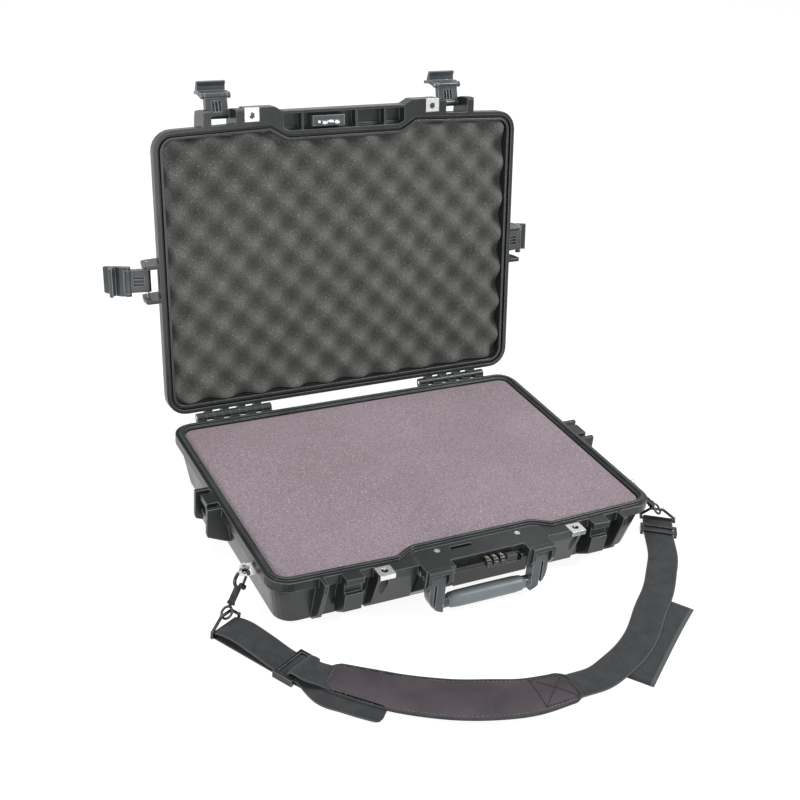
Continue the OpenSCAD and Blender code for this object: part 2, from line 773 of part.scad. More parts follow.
module lock_cover() {
    color(shell_black) difference() {
        cover_block();
        for (side = [-1, 1]) handle_slot(side);
        block([-lock_left, cover_y - 20, -1], [lock_right, lock_y, base_h + 5]);
        block([hasp_x - slot_x, hasp_y - hasp_t / 2 - 1, base_h - 16],
              [hasp_x + slot_x, hasp_y + hasp_t / 2 + 1, base_h + 1]);
        catch_room();
        rod_x(DIALS[0] - dial_w / 2 - 0.5, DIALS[2] + dial_w / 2 + 0.5, dial_y, dial_z, dial_r + 0.5);
        for (side = [-1, 1]) {
            rod_x(side > 0 ? arm_in - 6 : -handle_x - 6, (side > 0 ? handle_x : -arm_in) + 6,
                  handle_y, handle_z, handle_pin_r);
            translate([side * screw_x, screw_y, base_h - 14]) cylinder(r = 1.8, h = 20);
            translate([side * screw_x, screw_y, base_h - 2.2]) cylinder(r = screw_r + 0.2, h = 9);
            side_screw_place(side) cylinder(r = 1.8, h = 13);
            side_screw_place(side) cylinder(r = screw_r + 0.2, h = 2);
        }
        valve_place() translate([0, 0, -8]) cylinder(r = valve_r - 1.5, h = 20);
    }
}

// ---- cover screws: two on top, one in each side ----
screw_y = front_y + 0.6;
side_screw_z = base_h - 12;
valve_r = 5;

module side_screw_place(side) {
    translate([side * cover_x, front_y - 18, side_screw_z]) rotate([0, -side * 90, 0]) children();
}

module screw() {
    difference() {
        union() {
            translate([0, 0, -1.8]) cylinder(r = screw_r, h = 1.8);
            translate([0, 0, -12]) cylinder(r = 1.75, h = 11);
        }
        for (turn_by = [0, 90]) rotate([0, 0, turn_by])
            block([-screw_r + 1, -0.4, -0.9], [screw_r - 1, 0.4, 1]);
    }
}

module cover_screws() {
    color(chrome) for (side = [-1, 1]) {
        translate([side * screw_x, screw_y, base_h - 0.4]) screw();
        side_screw_place(side) rotate([180, 0, 0]) translate([0, 0, -0.2]) screw();
    }
}

// ---- pressure valve in the sloping underside of the cover ----
module valve_place() {
    p = UNDER[0] + valve_at * under_dir;
    translate([-40, p[0], p[1]]) rotate([180 + atan2(under_dir[1], under_dir[0]), 0, 0])
        translate([0, 0, 0.1]) children();
}

module relief_valve() {
    color("#7a3034") valve_place() {
        cylinder(r = valve_r, h = 2);
        translate([0, 0, -6]) cylinder(r = valve_r - 1.6, h = 6.1);
    }
}

// ---- dial lock ----
lock_top = base_h - lock_drop;
lock_front = cover_y + 2;
dial_y = lock_y - dial_r + 0.2;
dial_z = lock_top - 2;
DIALS = [dial_x - dial_pitch, dial_x, dial_x + dial_pitch];
button_x = dial_x + dial_pitch + dial_w / 2 + 3;
button_z = lock_top - 6;
lock_gap = 0.4;

module lock_body() {
    color("#4a4c4e") difference() {
        along_x(-lock_left + lock_gap, lock_right - lock_gap, [[lock_y - lock_gap, lock_top],
            [lock_front + 3, lock_top], [lock_front, lock_top - 3], [lock_front + 0.6, cover_low - 6],
            [lock_y - lock_gap, cover_low - 6]]);
        for (x = DIALS) rod_x(x - dial_w / 2 - 0.4, x + dial_w / 2 + 0.4, dial_y, dial_z,
                              dial_r + 0.5);
        block([button_x - 0.5, lock_front - 1, button_z - 0.4],
              [button_x + button_w + button_travel + 0.5, lock_y - 3, lock_top + 1]);
        rod_x(DIALS[0] - dial_w / 2 - 4, DIALS[2] + dial_w / 2 + 2, dial_y, dial_z, 1.5);
    }
}

module dial_spindle() {
    color(steel) rod_x(DIALS[0] - dial_w / 2 - 4, DIALS[2] + dial_w / 2 + 2, dial_y, dial_z, 1.5);
}

module dial(x) {
    color("#e4e4e0") difference() {
        rod_x(x - dial_w / 2, x + dial_w / 2, dial_y, dial_z, dial_r);
        rod_x(x - dial_w, x + dial_w, dial_y, dial_z, 1.5 + run_gap);
        for (k = [0 : 9]) translate([0, dial_y, dial_z]) rotate([36 * k + 18, 0, 0])
            block([x - dial_w, dial_r - 0.5, -0.45], [x + dial_w, dial_r + 1, 0.45]);
    }
}

module lock_button() {
    color("#5c5e60") difference() {
        block([button_x, lock_front + 0.4, button_z], [button_x + button_w, lock_y - 3.4,
               lock_top + 3]);
        for (k = [-1 : 1]) block([button_x + button_w / 2 + 3 * k - 0.5, lock_front - 1,
            lock_top + 2.3], [button_x + button_w / 2 + 3 * k + 0.5, lock_y, lock_top + 4]);
    }
}

// The catch behind the lock, drawn back; pushing it in runs its two pins through the hasp loops
catch_r = hasp_r - 2.5;
catch_z = hasp_z;
catch_bar_y = hasp_y - hasp_t / 2 - 1.2 - catch_travel;
catch_bar_t = 3;

module catch_room() {
    block([hasp_x - slot_x, catch_bar_y - catch_bar_t - 1, catch_z - 3.5],
          [hasp_x + slot_x, hasp_y, catch_z + 3.5]);
}

module lock_catch() {
    color(steel) {
        block([hasp_x - slot_x + 1, catch_bar_y - catch_bar_t, catch_z - 3],
              [hasp_x + slot_x - 1, catch_bar_y, catch_z + 3]);
        for (x = LOOPS) translate([x, catch_bar_y + catch_travel, catch_z]) rotate([90, 0, 0])
            cylinder(r = catch_r, h = catch_travel + 1);
    }
}

// ---- handle ----
grip_half = 50;
grip_z = handle_z - handle_len;
low_z = grip_z - grip_r - 1;

module handle_arm(side) {
    x0 = side > 0 ? arm_in : -handle_x;
    difference() {
        intersection() {
            translate([0, handle_y + hub_r, 0]) rotate([90, 0, 0]) linear_extrude(2 * hub_r)
                polygon(rounded([[-handle_x, low_z, 26], [handle_x, low_z, 26],
                    [handle_x, handle_z + hub_r, 1], [-handle_x, handle_z + hub_r, 1]]));
            along_x(x0, x0 + handle_arm_w, [[handle_y - hub_r, low_z],
                [handle_y + hub_r, low_z], [handle_y + hub_r, handle_z],
                [handle_y + hub_r * 0.7, handle_z + hub_r * 0.7], [handle_y, handle_z + hub_r],
                [handle_y - hub_r * 0.7, handle_z + hub_r * 0.7], [handle_y - hub_r, handle_z]]);
        }
        x_groove = side > 0 ? arm_in + 11 : -handle_x + 6;
        block([x_groove, handle_y - hub_r - 1, low_z + 6], [x_groove + 3, handle_y - hub_r + 4,
              handle_z - 9]);
    }
}

module handle_frame() {
    color("#4d4f50") difference() {
        union() {
            for (side = [-1, 1]) {
                handle_arm(side);
                x0 = side > 0 ? grip_half : -arm_in - 1;
                translate([x0, handle_y, grip_z]) rotate([0, 90, 0])
                    cylinder(r = hub_r + 1, h = arm_in + 1 - grip_half);
            }
            rod_x(-arm_in - 1, arm_in + 1, handle_y, grip_z, grip_bar_r);
        }
        for (side = [-1, 1])
            rod_x(side > 0 ? arm_in - 1 : -handle_x - 1, (side > 0 ? handle_x : -arm_in) + 1,
                  handle_y, handle_z, handle_pin_r + run_gap);
    }
}

module handle_grip() {
    color("#7b8285") translate([0, handle_y, grip_z]) rotate([0, 90, 0]) rotate_extrude()
        polygon([[grip_bar_r, -grip_half], [grip_r - 2.5, -grip_half], [grip_r - 1, 3 - grip_half],
            [grip_r - 0.2, 12 - grip_half], [grip_r, 0], [grip_r - 0.2, grip_half - 12],
            [grip_r - 1, grip_half - 3], [grip_r - 2.5, grip_half], [grip_bar_r, grip_half]]);
}

module handle_pins() {
    color(chrome) for (side = [-1, 1])
        rod_x(side > 0 ? arm_in - 5 : -handle_x - 5, (side > 0 ? handle_x : -arm_in) + 5,
              handle_y, handle_z, handle_pin_r);
}

module hinge_pins() {
    color(steel) for (side = [-1, 1])
        rod_x(side * hinge_x - hinge_half, side * hinge_x + hinge_half, hinge_y, hinge_z,
              hinge_pin_r);
}

// ---- latches, drawn latched and then swung out ----
module swing(y, z, angle) {
    translate([0, y, z]) rotate([-angle, 0, 0]) translate([0, -y, -z]) children();
}

module latch_place(i) {
    lid_pose() at_station(i) swing(pivot_y, pivot_z, arm_swing) children();
}

module latch_pins() {
    color(steel) lid_pose() {
        for (i = front_pair) at_station(i) pin_x(front_ear_gap + front_ear_w - 4.2, pivot_y, pivot_z);
        for (i = side_pair) at_station(i) pin_x(side_ear_gap + fin_w, pivot_y, pivot_z);
    }
}

module pin_x(half, y, z) {
    rod_x(-half, half, y, z, latch_pin_r);
}

arm_half = arm_w / 2;
lever_half = lever_w / 2;
plate_out = elbow_y - lever_t / 2 - 0.4;
plate_in = plate_out + lever_t;
claw_top = strike_top - claw_gap;
bend_z = claw_top + 1.5;
pocket_half = 6;
pocket_deep = 4;

// Inner face of a latch arm, from the elbow to the pivot
arm_from = [elbow_y + 4.8, elbow_z + 3];
arm_to = [pivot_y + 3.2, pivot_z - 3];

module arm_pocket() {
    u = unit(arm_to - arm_from);
    n = [u[1], -u[0]];
    difference() {
        along_x(-pocket_half, pocket_half, [arm_from + 1.5 * u + 2 * n,
            arm_from + 1.5 * u - pocket_deep * n, arm_to - 3.5 * u - pocket_deep * n,
            arm_to - 3.5 * u + 2 * n]);
        for (x = [-2.2, 2.2]) block([x - 0.5, elbow_y - 5, elbow_z], [x + 0.5, elbow_y + 25, pivot_z]);
    }
}

module latch_arm(i) {
    color(latch_black) latch_place(i) difference() {
        union() {
            rod_x(-arm_half, arm_half, pivot_y, pivot_z, latch_knuckle_r + 0.8);
            rod_x(-arm_half, arm_half, elbow_y, elbow_z, latch_knuckle_r);
            along_x(-arm_half, arm_half, [arm_to, [pivot_y - 2, pivot_z + 4.2],
                [elbow_y - 2.4, elbow_z + 6], [elbow_y - 3.4, elbow_z], [elbow_y + 3, elbow_z],
                arm_from]);
        }
        arm_pocket();
        rod_x(-arm_w, arm_w, pivot_y, pivot_z, latch_pin_r + run_gap);
        rod_x(-arm_w, arm_w, elbow_y, elbow_z, latch_pin_r);
    }
}

// Side view of the lever: straight plate, then the finger tab flaring outwards
tab_dir = [-sin(tab_flare), -cos(tab_flare)];
tab_in = [cos(tab_flare), -sin(tab_flare)];
tab_root = [plate_out, bend_z];
tab_tip = tab_root + tab_len * tab_dir;
tab_back = (tab_t * tab_in[0] - lever_t) / -tab_dir[0];

module lever_plate() {
    intersection() {
        along_x(-lever_half, lever_half, [[plate_out, elbow_z], tab_root, tab_tip,
            tab_tip + tab_t * tab_in, tab_root + tab_back * tab_dir + tab_t * tab_in,
            [plate_in, elbow_z - 3], [elbow_y, elbow_z]]);
        translate([0, elbow_y + 12, 0]) rotate([90, 0, 0]) linear_extrude(40)
            polygon(rounded([[-lever_half + 2.5, tab_tip[1] - tab_t, 5],
                [lever_half - 2.5, tab_tip[1] - tab_t, 5], [lever_half, bend_z, 1],
                [lever_half, elbow_z + 5, 1], [-lever_half, elbow_z + 5, 1],
                [-lever_half, bend_z, 1]]));
    }
}

// Claw across the whole lever, which hooks behind the strike's lip
module lever_claw() {
    tip_y = -strike_out + claw_bite - 1;
    along_x(-lever_half + 0.5, lever_half - 0.5, [[plate_in - 2, claw_top],
        [-strike_out - 2.5, claw_top - 1.5], [tip_y, claw_top - 0.5], [tip_y + 0.4, claw_top],
        [tip_y, claw_top - 5], [plate_in - 1.5, claw_top - 7], [plate_in - 4, claw_top - 7]]);
}

module latch_lever(i) {
    color(latch_black) latch_place(i) swing(elbow_y, elbow_z, SWINGS[i]) difference() {
        union() {
            rod_x(-lever_half, lever_half, elbow_y, elbow_z, latch_knuckle_r);
            lever_plate();
            lever_claw();
        }
        block([-arm_half - side_gap, elbow_y - 12, elbow_z - latch_knuckle_r - 0.8],
              [arm_half + side_gap, elbow_y + 8, elbow_z + 12]);
        rod_x(-lever_w, lever_w, elbow_y, elbow_z, latch_pin_r + run_gap);
    }
}

module lever_pin(i) {
    color(chrome) latch_place(i) pin_x(lever_half - 0.5, elbow_y, elbow_z);
}

// ---- strap lugs and snap hooks ----
lug_x = case_w / 2 + lug_out;
lug_z = base_h - lug_drop;

// The plate of a lug, from its eye into a slot in the case wall
module lug_root(side, gap) {
    reach = side * (lug_x - lug_out - flange_step - 1.5 - gap);
    block([min(reach, side * lug_x), -lug_y - lug_t / 2 - gap, lug_z - lug_r - gap],
          [max(reach, side * lug_x), -lug_y + lug_t / 2 + gap, lug_z + lug_r + gap]);
}

module strap_lugs() {
    color(steel) for (side = [-1, 1]) difference() {
        union() {
            lug_root(side, 0);
            translate([side * lug_x, -lug_y + lug_t / 2, lug_z]) rotate([90, 0, 0])
                cylinder(r = lug_r, h = lug_t);
        }
        translate([side * lug_x, -lug_y + lug_t, lug_z]) rotate([90, 0, 0])
            cylinder(r = lug_eye_r, h = 2 * lug_t);
    }
}

// Each hook hangs from its lug eye down to a strap loop that stands on the floor
HANG_HEADING = [219.5, -23];
RUN_HEADING = [-62, -124];
bar_z = loop_wire_r + 0.3 + web_t;
hang_drop = lug_z - bar_z - loop_rise;
hang_reach = hang_drop * tan(hang_tilt);
chain_len = hang_drop / cos(hang_tilt);
shoulder_rise = 5.5;

function heading(a) = [cos(a), sin(a)];
function eye(i) = [(i == 0 ? -1 : 1) * lug_x, -lug_y, lug_z];
function apex(i) = [each (xy(eye(i)) + hang_reach * heading(HANG_HEADING[i])),
    bar_z + loop_rise];
function bar(i) = xy(apex(i)) + loop_lean * heading(HANG_HEADING[i] + 20);
function spin(a) = 180 + atan2(cos(a), -cos(hang_tilt) * sin(a));

// Local z runs from the lug eye down to the strap loop, local x follows the wire in the lug eye
module at_hook(i) {
    a = HANG_HEADING[i];
    translate(eye(i)) rotate([0, 180 - hang_tilt, a]) rotate([0, 0, spin(a)])
        translate([0, 0, hook_sag]) children();
}

hook_sag = lug_eye_r - hook_wire_r - 2.2;
hook_top = 2 * hook_r;
shank_len = chain_len - hook_sag - hook_top - head_r - 1.5;
gate_from = -38;
gate_to = 52;
gate_pin_r = 1;

// Arc of the hook's round wire, angles measured from the gate side
module round_wire(a0, a1, r) {
    translate([0, 0, hook_r]) rotate([90, 0, 0]) rotate([0, 0, a0])
        rotate_extrude(angle = a1 - a0) translate([hook_r, 0]) circle(r = r, $fn = 24);
}

function on_round(a) = [hook_r * cos(a), 0, hook_r + hook_r * sin(a)];

module gate_pin_hole(r) {
    translate(on_round(gate_to)) rotate([90, 0, 0]) translate([0, 0, -5]) cylinder(r = r, h = 10);
}

module snap_hook(i) {
    color(steel) at_hook(i) difference() {
        union() {
            round_wire(gate_to - 4, gate_from + 360, hook_wire_r);
            translate([0, 0, hook_top - 1]) cylinder(r = 4, h = shank_len - 1);
            translate([0, 0, hook_top + shank_len - 5]) cylinder(r = 4.6, h = 3);
            translate(on_round(gate_to)) rotate([90, 0, 0]) translate([0, 0, -3.4])
                cylinder(r = 3, h = 6.8);
        }
        translate([0, 0, hook_top + shank_len - 12]) cylinder(r = stem_r + run_gap, h = 14);
        translate(on_round(gate_to)) rotate([90, 0, 0]) translate([0, 0, -gate_knuckle])
            cylinder(r = 3.4, h = 2 * gate_knuckle);
        gate_pin_hole(gate_pin_r);
    }
}

module gate_pins() {
    color(steel) for (i = [0, 1]) at_hook(i) translate(on_round(gate_to)) rotate([90, 0, 0])
        translate([0, 0, -3.4]) cylinder(r = gate_pin_r, h = 6.8);
}

gate_knuckle = 1.9;
gate_r = 1.5;

// A straight gate whose tip rests inside the nose of the hook
module hook_gate(i) {
    in_r = hook_r - hook_wire_r - gate_r - 0.3;
    a = gate_from + 4;
    color("#6e5a3c") at_hook(i) difference() {
        union() {
            wire(on_round(gate_to), [in_r * cos(a), 0, hook_r + in_r * sin(a)], gate_r);
            translate(on_round(gate_to)) rotate([90, 0, 0])
                translate([0, 0, 0.15 - gate_knuckle]) cylinder(r = 2.6, h = 2 * gate_knuckle - 0.3);
        }
        gate_pin_hole(gate_pin_r + run_gap);
    }
}

// Swivel head: a stem in the hook's shank and an eye that holds the strap loop
module swivel_head(i) {
    color(steel) at_hook(i) {
        translate([0, 0, hook_top + shank_len - 11]) cylinder(r = stem_r, h = 12.5);
        translate([0, 0, hook_top + shank_len + 1 + head_r - 0.3]) rotate([90, 0, head_turn(i)])
            rotate_extrude() translate([head_r, 0]) circle(r = stem_r - 0.6, $fn = 24);
    }
}

// The eye faces along the loop's bar as far as it can
function head_turn(i) = let (a = HANG_HEADING[i], r = RUN_HEADING[i] + 90 - a)
    atan2(-cos(hang_tilt) * cos(r), -sin(r)) - spin(a);

// Strap loop: bar across the webbing, upright shoulders and a short top through the swivel eye
module strap_loop(i) {
    lean = xy(apex(i)) - bar(i);
    across = heading(RUN_HEADING[i] + 90);
    half = web_w / 2 + 2.5;
    rise = shoulder_rise / loop_rise;
    ends = [for (side = [-1, 1]) [each (bar(i) + side * half * across), bar_z]];
    bends = [for (side = [-1, 1]) [each (bar(i) + rise * lean + side * half * across),
        bar_z + shoulder_rise]];
    tops = [for (side = [-1, 1]) [each (xy(apex(i)) + side * loop_top * across), bar_z + loop_rise]];
    color(steel) {
        wire(ends[0], ends[1], loop_wire_r);
        for (k = [0, 1]) {
            wire(ends[k], bends[k], loop_wire_r);
            wire(bends[k], tops[k], loop_wire_r);
        }
        wire(tops[0], tops[1], loop_wire_r);
        for (p = concat(ends, bends, tops)) translate(p) sphere(r = loop_wire_r + 0.35, $fn = 24);
    }
}

module wire(p, q, r) {
    v = q - p;
    translate(p) rotate([0, acos(v[2] / norm(v)), atan2(v[1], v[0])])
        cylinder(r = r, h = norm(v), $fn = 24);
}

// ---- webbing: flat ribbons on the floor, given as share of the case width and distance in front ----
function on_floor(p) = [p[0] * case_w, front_y - p[1]];
function laid(v) = [for (p = v) on_floor(p)];
function ribbon_side(pts, off) = [for (k = [0 : len(pts) - 1])
    let (a = pts[max(0, k - 1)], b = pts[min(len(pts) - 1, k + 1)], t = unit(b - a))
    pts[k] + off[k] * [-t[1], t[0]]];
function reversed(v) = [for (k = [len(v) - 1 : -1 : 0]) v[k]];
function even(pts, w) = [for (p = pts) w];

module ribbon(pts, widths, z0, z1) {
    translate([0, 0, z0]) linear_extrude(z1 - z0)
        polygon(concat(ribbon_side(pts, -widths / 2), reversed(ribbon_side(pts, widths / 2))));
}

// Local frame of the webbing at a strap loop: local y runs along the webbing, x across it
module at_bar(i) {
    translate([each bar(i), 0]) rotate([0, 0, RUN_HEADING[i] - 90]) children();
}

module web_fold(run, high) {
    difference() {
        union() {
            rod_x(-web_w / 2, web_w / 2, 0, bar_z, bar_z);
            along_x(-web_w / 2, web_w / 2, [[0, 0], [run, 0], [run, web_t], [0, web_t]]);
            along_x(-web_w / 2, web_w / 2, [[0, 2 * bar_z - web_t], [run * 0.35, high + 2],
                [run * 0.7, high + 0.6], [run - 2, high], [run, high], [run, high + web_t],
                [run - 2, high + web_t], [run * 0.7, high + web_t + 0.6],
                [run * 0.35, high + web_t + 2], [0, 2 * bar_z]]);
        }
        rod_x(-web_w, web_w, 0, bar_z, bar_z - web_t);
    }
}

left_run = 90;
slide_at = left_run + 11;
upper_z = 3.9;
slide_t = 1.5;
right_run = 34;
TAIL = [[-0.472, 90], [-0.457, 108], [-0.429, 124], [-0.402, 138], [-0.368, 154]];
PAD_WEB = [[-0.463, 80], [-0.437, 87], [-0.395, 104]];
PAD = [[-0.424, 89], [-0.366, 116], [-0.306, 140], [-0.224, 164], [-0.142, 180], [-0.066, 190],
    [0.036, 192]];
PAD_WIDTHS = [0.72, 0.9, 1, 1.08, 1.1, 1, 0.76];
WEB_RIGHT = [[0.516, 24], [0.471, 52], [0.414, 84], [0.35, 112], [0.283, 144],
    [0.227, 164], [0.17, 178], [0.106, 190], [0.044, 192]];
FLAP = [[0.428, 110], [0.366, 132], [0.281, 164], [0.175, 205]];

// Points on the floor seen from the straight run of the webbing at a strap loop
function seen(i, v) = let (a = RUN_HEADING[i] - 90) [for (p = laid(v)) let (d = p - bar(i))
    [d[0] * cos(a) + d[1] * sin(a), d[1] * cos(a) - d[0] * sin(a)]];

low = web_t + 0.3;
tail_path = concat([[0, slide_at + 22], [0, slide_at + 26]], seen(0, TAIL));
pad_path = concat([[0, slide_at + 4], [0, slide_at + 13]], seen(0, PAD_WEB));

module web_left() {
    color(web_black) at_bar(0) {
        web_fold(left_run, upper_z);
        along_x(-web_w / 2, web_w / 2, [[left_run - 1, upper_z], [slide_at + 10, upper_z],
            [slide_at + 21, low], [slide_at + 22.5, low], [slide_at + 22.5, low + web_t],
            [slide_at + 21.5, low + web_t], [slide_at + 11, upper_z + web_t],
            [left_run - 1, upper_z + web_t]]);
        ribbon(tail_path, even(tail_path, web_w), low, low + web_t);
    }
}

module strap_adjuster() {
    rail = web_w / 2 + 0.8;
    color("#2f3133") at_bar(0) translate([0, slide_at, 0]) {
        for (side = [-1, 1]) block([side > 0 ? rail : -rail - 4, -13, 0],
                                   [side > 0 ? rail + 4 : -rail, 13, 8]);
        for (y = [-13, 9]) block([-rail - 1, y, upper_z + web_t + 0.3], [rail + 1, y + 4, 8]);
        block([-rail - 1, -3, web_t + 0.3], [rail + 1, 3, web_t + 0.3 + slide_t]);
    }
}

module web_pad() {
    color(web_black) at_bar(0) ribbon(pad_path, even(pad_path, web_w), 0, web_t);
}

// The pad lies on its own webbing and on the free tail
module shoulder_pad() {
    color("#504a4f") difference() {
        ribbon(laid(PAD), pad_w * PAD_WIDTHS, 0, pad_t);
        at_bar(0) {
            ribbon(tail_path, even(tail_path, web_w + 2), -1, low + web_t + 0.3);
            ribbon(pad_path, even(pad_path, web_w + 2), -1, web_t + 0.3);
        }
    }
}

module web_right() {
    path = concat([[0, right_run - 1], [0, right_run + 8]], seen(1, WEB_RIGHT));
    color(web_black) at_bar(1) {
        web_fold(right_run, low);
        ribbon(path, even(path, web_w), low, low + web_t);
    }
}

module strap_triglide() {
    rail = web_w / 2 + 0.8;
    color("#2f3133") at_bar(1) translate([0, 26, 0]) {
        for (side = [-1, 1]) block([side > 0 ? rail : -rail - 3.5, -8, 0],
                                   [side > 0 ? rail + 3.5 : -rail, 8, 7.5]);
        for (y = [-8, 4]) block([-rail - 1, y, 5.5], [rail + 1, y + 4, 7.5]);
    }
}

module strap_flap() {
    color(web_black) ribbon(laid(FLAP), even(FLAP, 45), 0, web_t);
}

base_shell();
base_foam();
lock_cover();
cover_screws();
lock_body();
dial_spindle();
dial(DIALS[0]);  // lock_dial_1
dial(DIALS[1]);  // lock_dial_2
dial(DIALS[2]);  // lock_dial_3
lock_button();
lock_catch();
relief_valve();
base_padlock_plates();
hinge_pins();
handle_pins();
handle_frame();
handle_grip();
strap_lugs();
snap_hook(0);  // snap_hook_left
snap_hook(1);  // snap_hook_right
hook_gate(0);  // hook_gate_left
hook_gate(1);  // hook_gate_right
swivel_head(0);  // swivel_head_left
swivel_head(1);  // swivel_head_right
strap_loop(0);  // strap_loop_left
strap_loop(1);  // strap_loop_right
gate_pins();
web_left();
strap_adjuster();
web_pad();
shoulder_pad();
web_right();
strap_triglide();
strap_flap();
lid_shell();
lid_foam();
lid_seal();
lid_padlock_plates();
hasp_plate();
hasp_loops();
latch_pins();
latch_arm(0);  // latch_arm_1
latch_arm(1);  // latch_arm_2
latch_arm(2);  // latch_arm_3
latch_arm(3);  // latch_arm_4
latch_lever(0);  // latch_lever_1
latch_lever(1);  // latch_lever_2
latch_lever(2);  // latch_lever_3
latch_lever(3);  // latch_lever_4
lever_pin(0);  // lever_pin_1
lever_pin(1);  // lever_pin_2
lever_pin(2);  // lever_pin_3
lever_pin(3);  // lever_pin_4
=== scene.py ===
"""Looks of an open hard case for a laptop: moulded shells, foam linings, latches and a strap."""

import json
import math

import bpy
import numpy as np
from mathutils import Matrix, Vector
from mathutils.bvhtree import BVHTree


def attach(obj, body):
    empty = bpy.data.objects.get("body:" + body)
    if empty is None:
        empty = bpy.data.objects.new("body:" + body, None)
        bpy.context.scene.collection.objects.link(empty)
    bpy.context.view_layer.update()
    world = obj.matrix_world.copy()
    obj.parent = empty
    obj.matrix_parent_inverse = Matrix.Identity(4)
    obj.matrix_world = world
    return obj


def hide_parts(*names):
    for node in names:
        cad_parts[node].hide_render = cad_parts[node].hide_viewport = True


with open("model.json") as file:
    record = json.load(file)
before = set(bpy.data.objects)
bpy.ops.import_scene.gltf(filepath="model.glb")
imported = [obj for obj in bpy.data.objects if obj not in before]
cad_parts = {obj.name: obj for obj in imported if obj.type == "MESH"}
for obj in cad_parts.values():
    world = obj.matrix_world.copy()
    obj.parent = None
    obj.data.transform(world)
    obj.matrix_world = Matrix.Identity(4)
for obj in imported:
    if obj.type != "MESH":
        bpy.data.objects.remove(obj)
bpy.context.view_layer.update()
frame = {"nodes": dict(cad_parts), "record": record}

# The objects that Blender opens with
for name in ("Cube", "Light", "Camera"):
    if name in bpy.data.objects:
        bpy.data.objects.remove(bpy.data.objects[name])

MM = 0.001
UPRIGHT = Vector((0, 0, 1))

# ---- the case's own sizes, in millimetres, as the CAD has them ----
CASE_W = 508
FRONT_Y = -182.35
BACK_Y = 182.35
BASE_H = 69
LID_Z = 69.4
TOP_Z = 124
# The flange's front: its outward bow, and the notch before the lock between two shoulders
BOW = 5
SHOULDER_X = 100
NOTCH_X = 78
NOTCH_DEPTH = 13
FOAM_INSET = 12
HINGE = Vector((0, 190.55, 71.13))
LID_OPEN = math.radians(99.08)


# ---- colour and node helpers ----
def linear(code):
    """An sRGB hex colour as linear RGBA."""
    parts = [int(code[i:i + 2], 16) / 255 for i in (1, 3, 5)]
    return [c / 12.92 if c <= 0.04045 else ((c + 0.055) / 1.055) ** 2.4 for c in parts] + [1.0]


def add(tree, kind, settings=None, **sockets):
    """Adds a node; a socket is given a value, or an output to be linked to it.

    A socket is named by its label, with _ for a space, or by _ and its number. The stops of a
    colour ramp are among the settings, each a position and an sRGB hex colour.
    """
    node = tree.nodes.new("ShaderNode" + kind)
    for key, value in (settings or {}).items():
        if key == "stops":
            for element, (position, code) in zip(node.color_ramp.elements, value):
                element.position = position
                element.color = linear(code)
        else:
            setattr(node, key, value)
    for key, value in sockets.items():
        socket = node.inputs[int(key[1:])] if key[0] == "_" else node.inputs[key.replace("_", " ")]
        if isinstance(value, bpy.types.NodeSocket):
            tree.links.new(value, socket)
        else:
            socket.default_value = value
    return node


# Settings of the nodes that mix two colours: one over the other, or one times the other
OVER = {"data_type": "RGBA", "blend_type": "MIX"}
TIMES = {"data_type": "RGBA", "blend_type": "MULTIPLY"}


def start(name):
    """An empty material and its node tree."""
    material = bpy.data.materials.new(name)
    material.use_nodes = True
    material.node_tree.nodes.clear()
    return material, material.node_tree


def finished(material, **sockets):
    """Gives a material its shader, with the sockets as add takes them."""
    shader = add(material.node_tree, "BsdfPrincipled", **sockets)
    add(material.node_tree, "OutputMaterial", Surface=shader.outputs[0])
    return material


def spots(width_mm):
    """Scale of a noise or cell pattern with spots this wide."""
    return 1 / (width_mm * MM)


def ribs(width_mm):
    """Scale of a wave pattern with ribs this wide; a wave repeats every pi / 10 units."""
    return math.pi / 10 / (width_mm * MM)


def mottled(tree, place, dark, light, spot_mm, low=0.35, high=0.65, detail=4):
    """Two tones of one colour blended by noise."""
    noise = add(tree, "TexNoise", Vector=place, Scale=spots(spot_mm), Detail=detail,
                Roughness=0.6)
    return add(tree, "ValToRGB", {"stops": ((low, dark), (high, light))},
               Fac=noise.outputs["Fac"]).outputs["Color"]


def rounded_edges(tree, radius_mm):
    """Normal of the small moulded radius on each edge, and a mask that is 1 on that radius.

    The mask starts where the rounded normal is 10 degrees off the face's and is full at 37.
    """
    edge = add(tree, "Bevel", {"samples": 6}, Radius=radius_mm * MM)
    flat = add(tree, "NewGeometry").outputs["Normal"]
    dot = add(tree, "VectorMath", {"operation": "DOT_PRODUCT"}, _0=edge.outputs[0], _1=flat)
    mask = add(tree, "MapRange", Value=dot.outputs["Value"], From_Min=0.985, From_Max=0.8,
               To_Min=0.0, To_Max=1.0)
    return edge.outputs[0], mask.outputs[0]


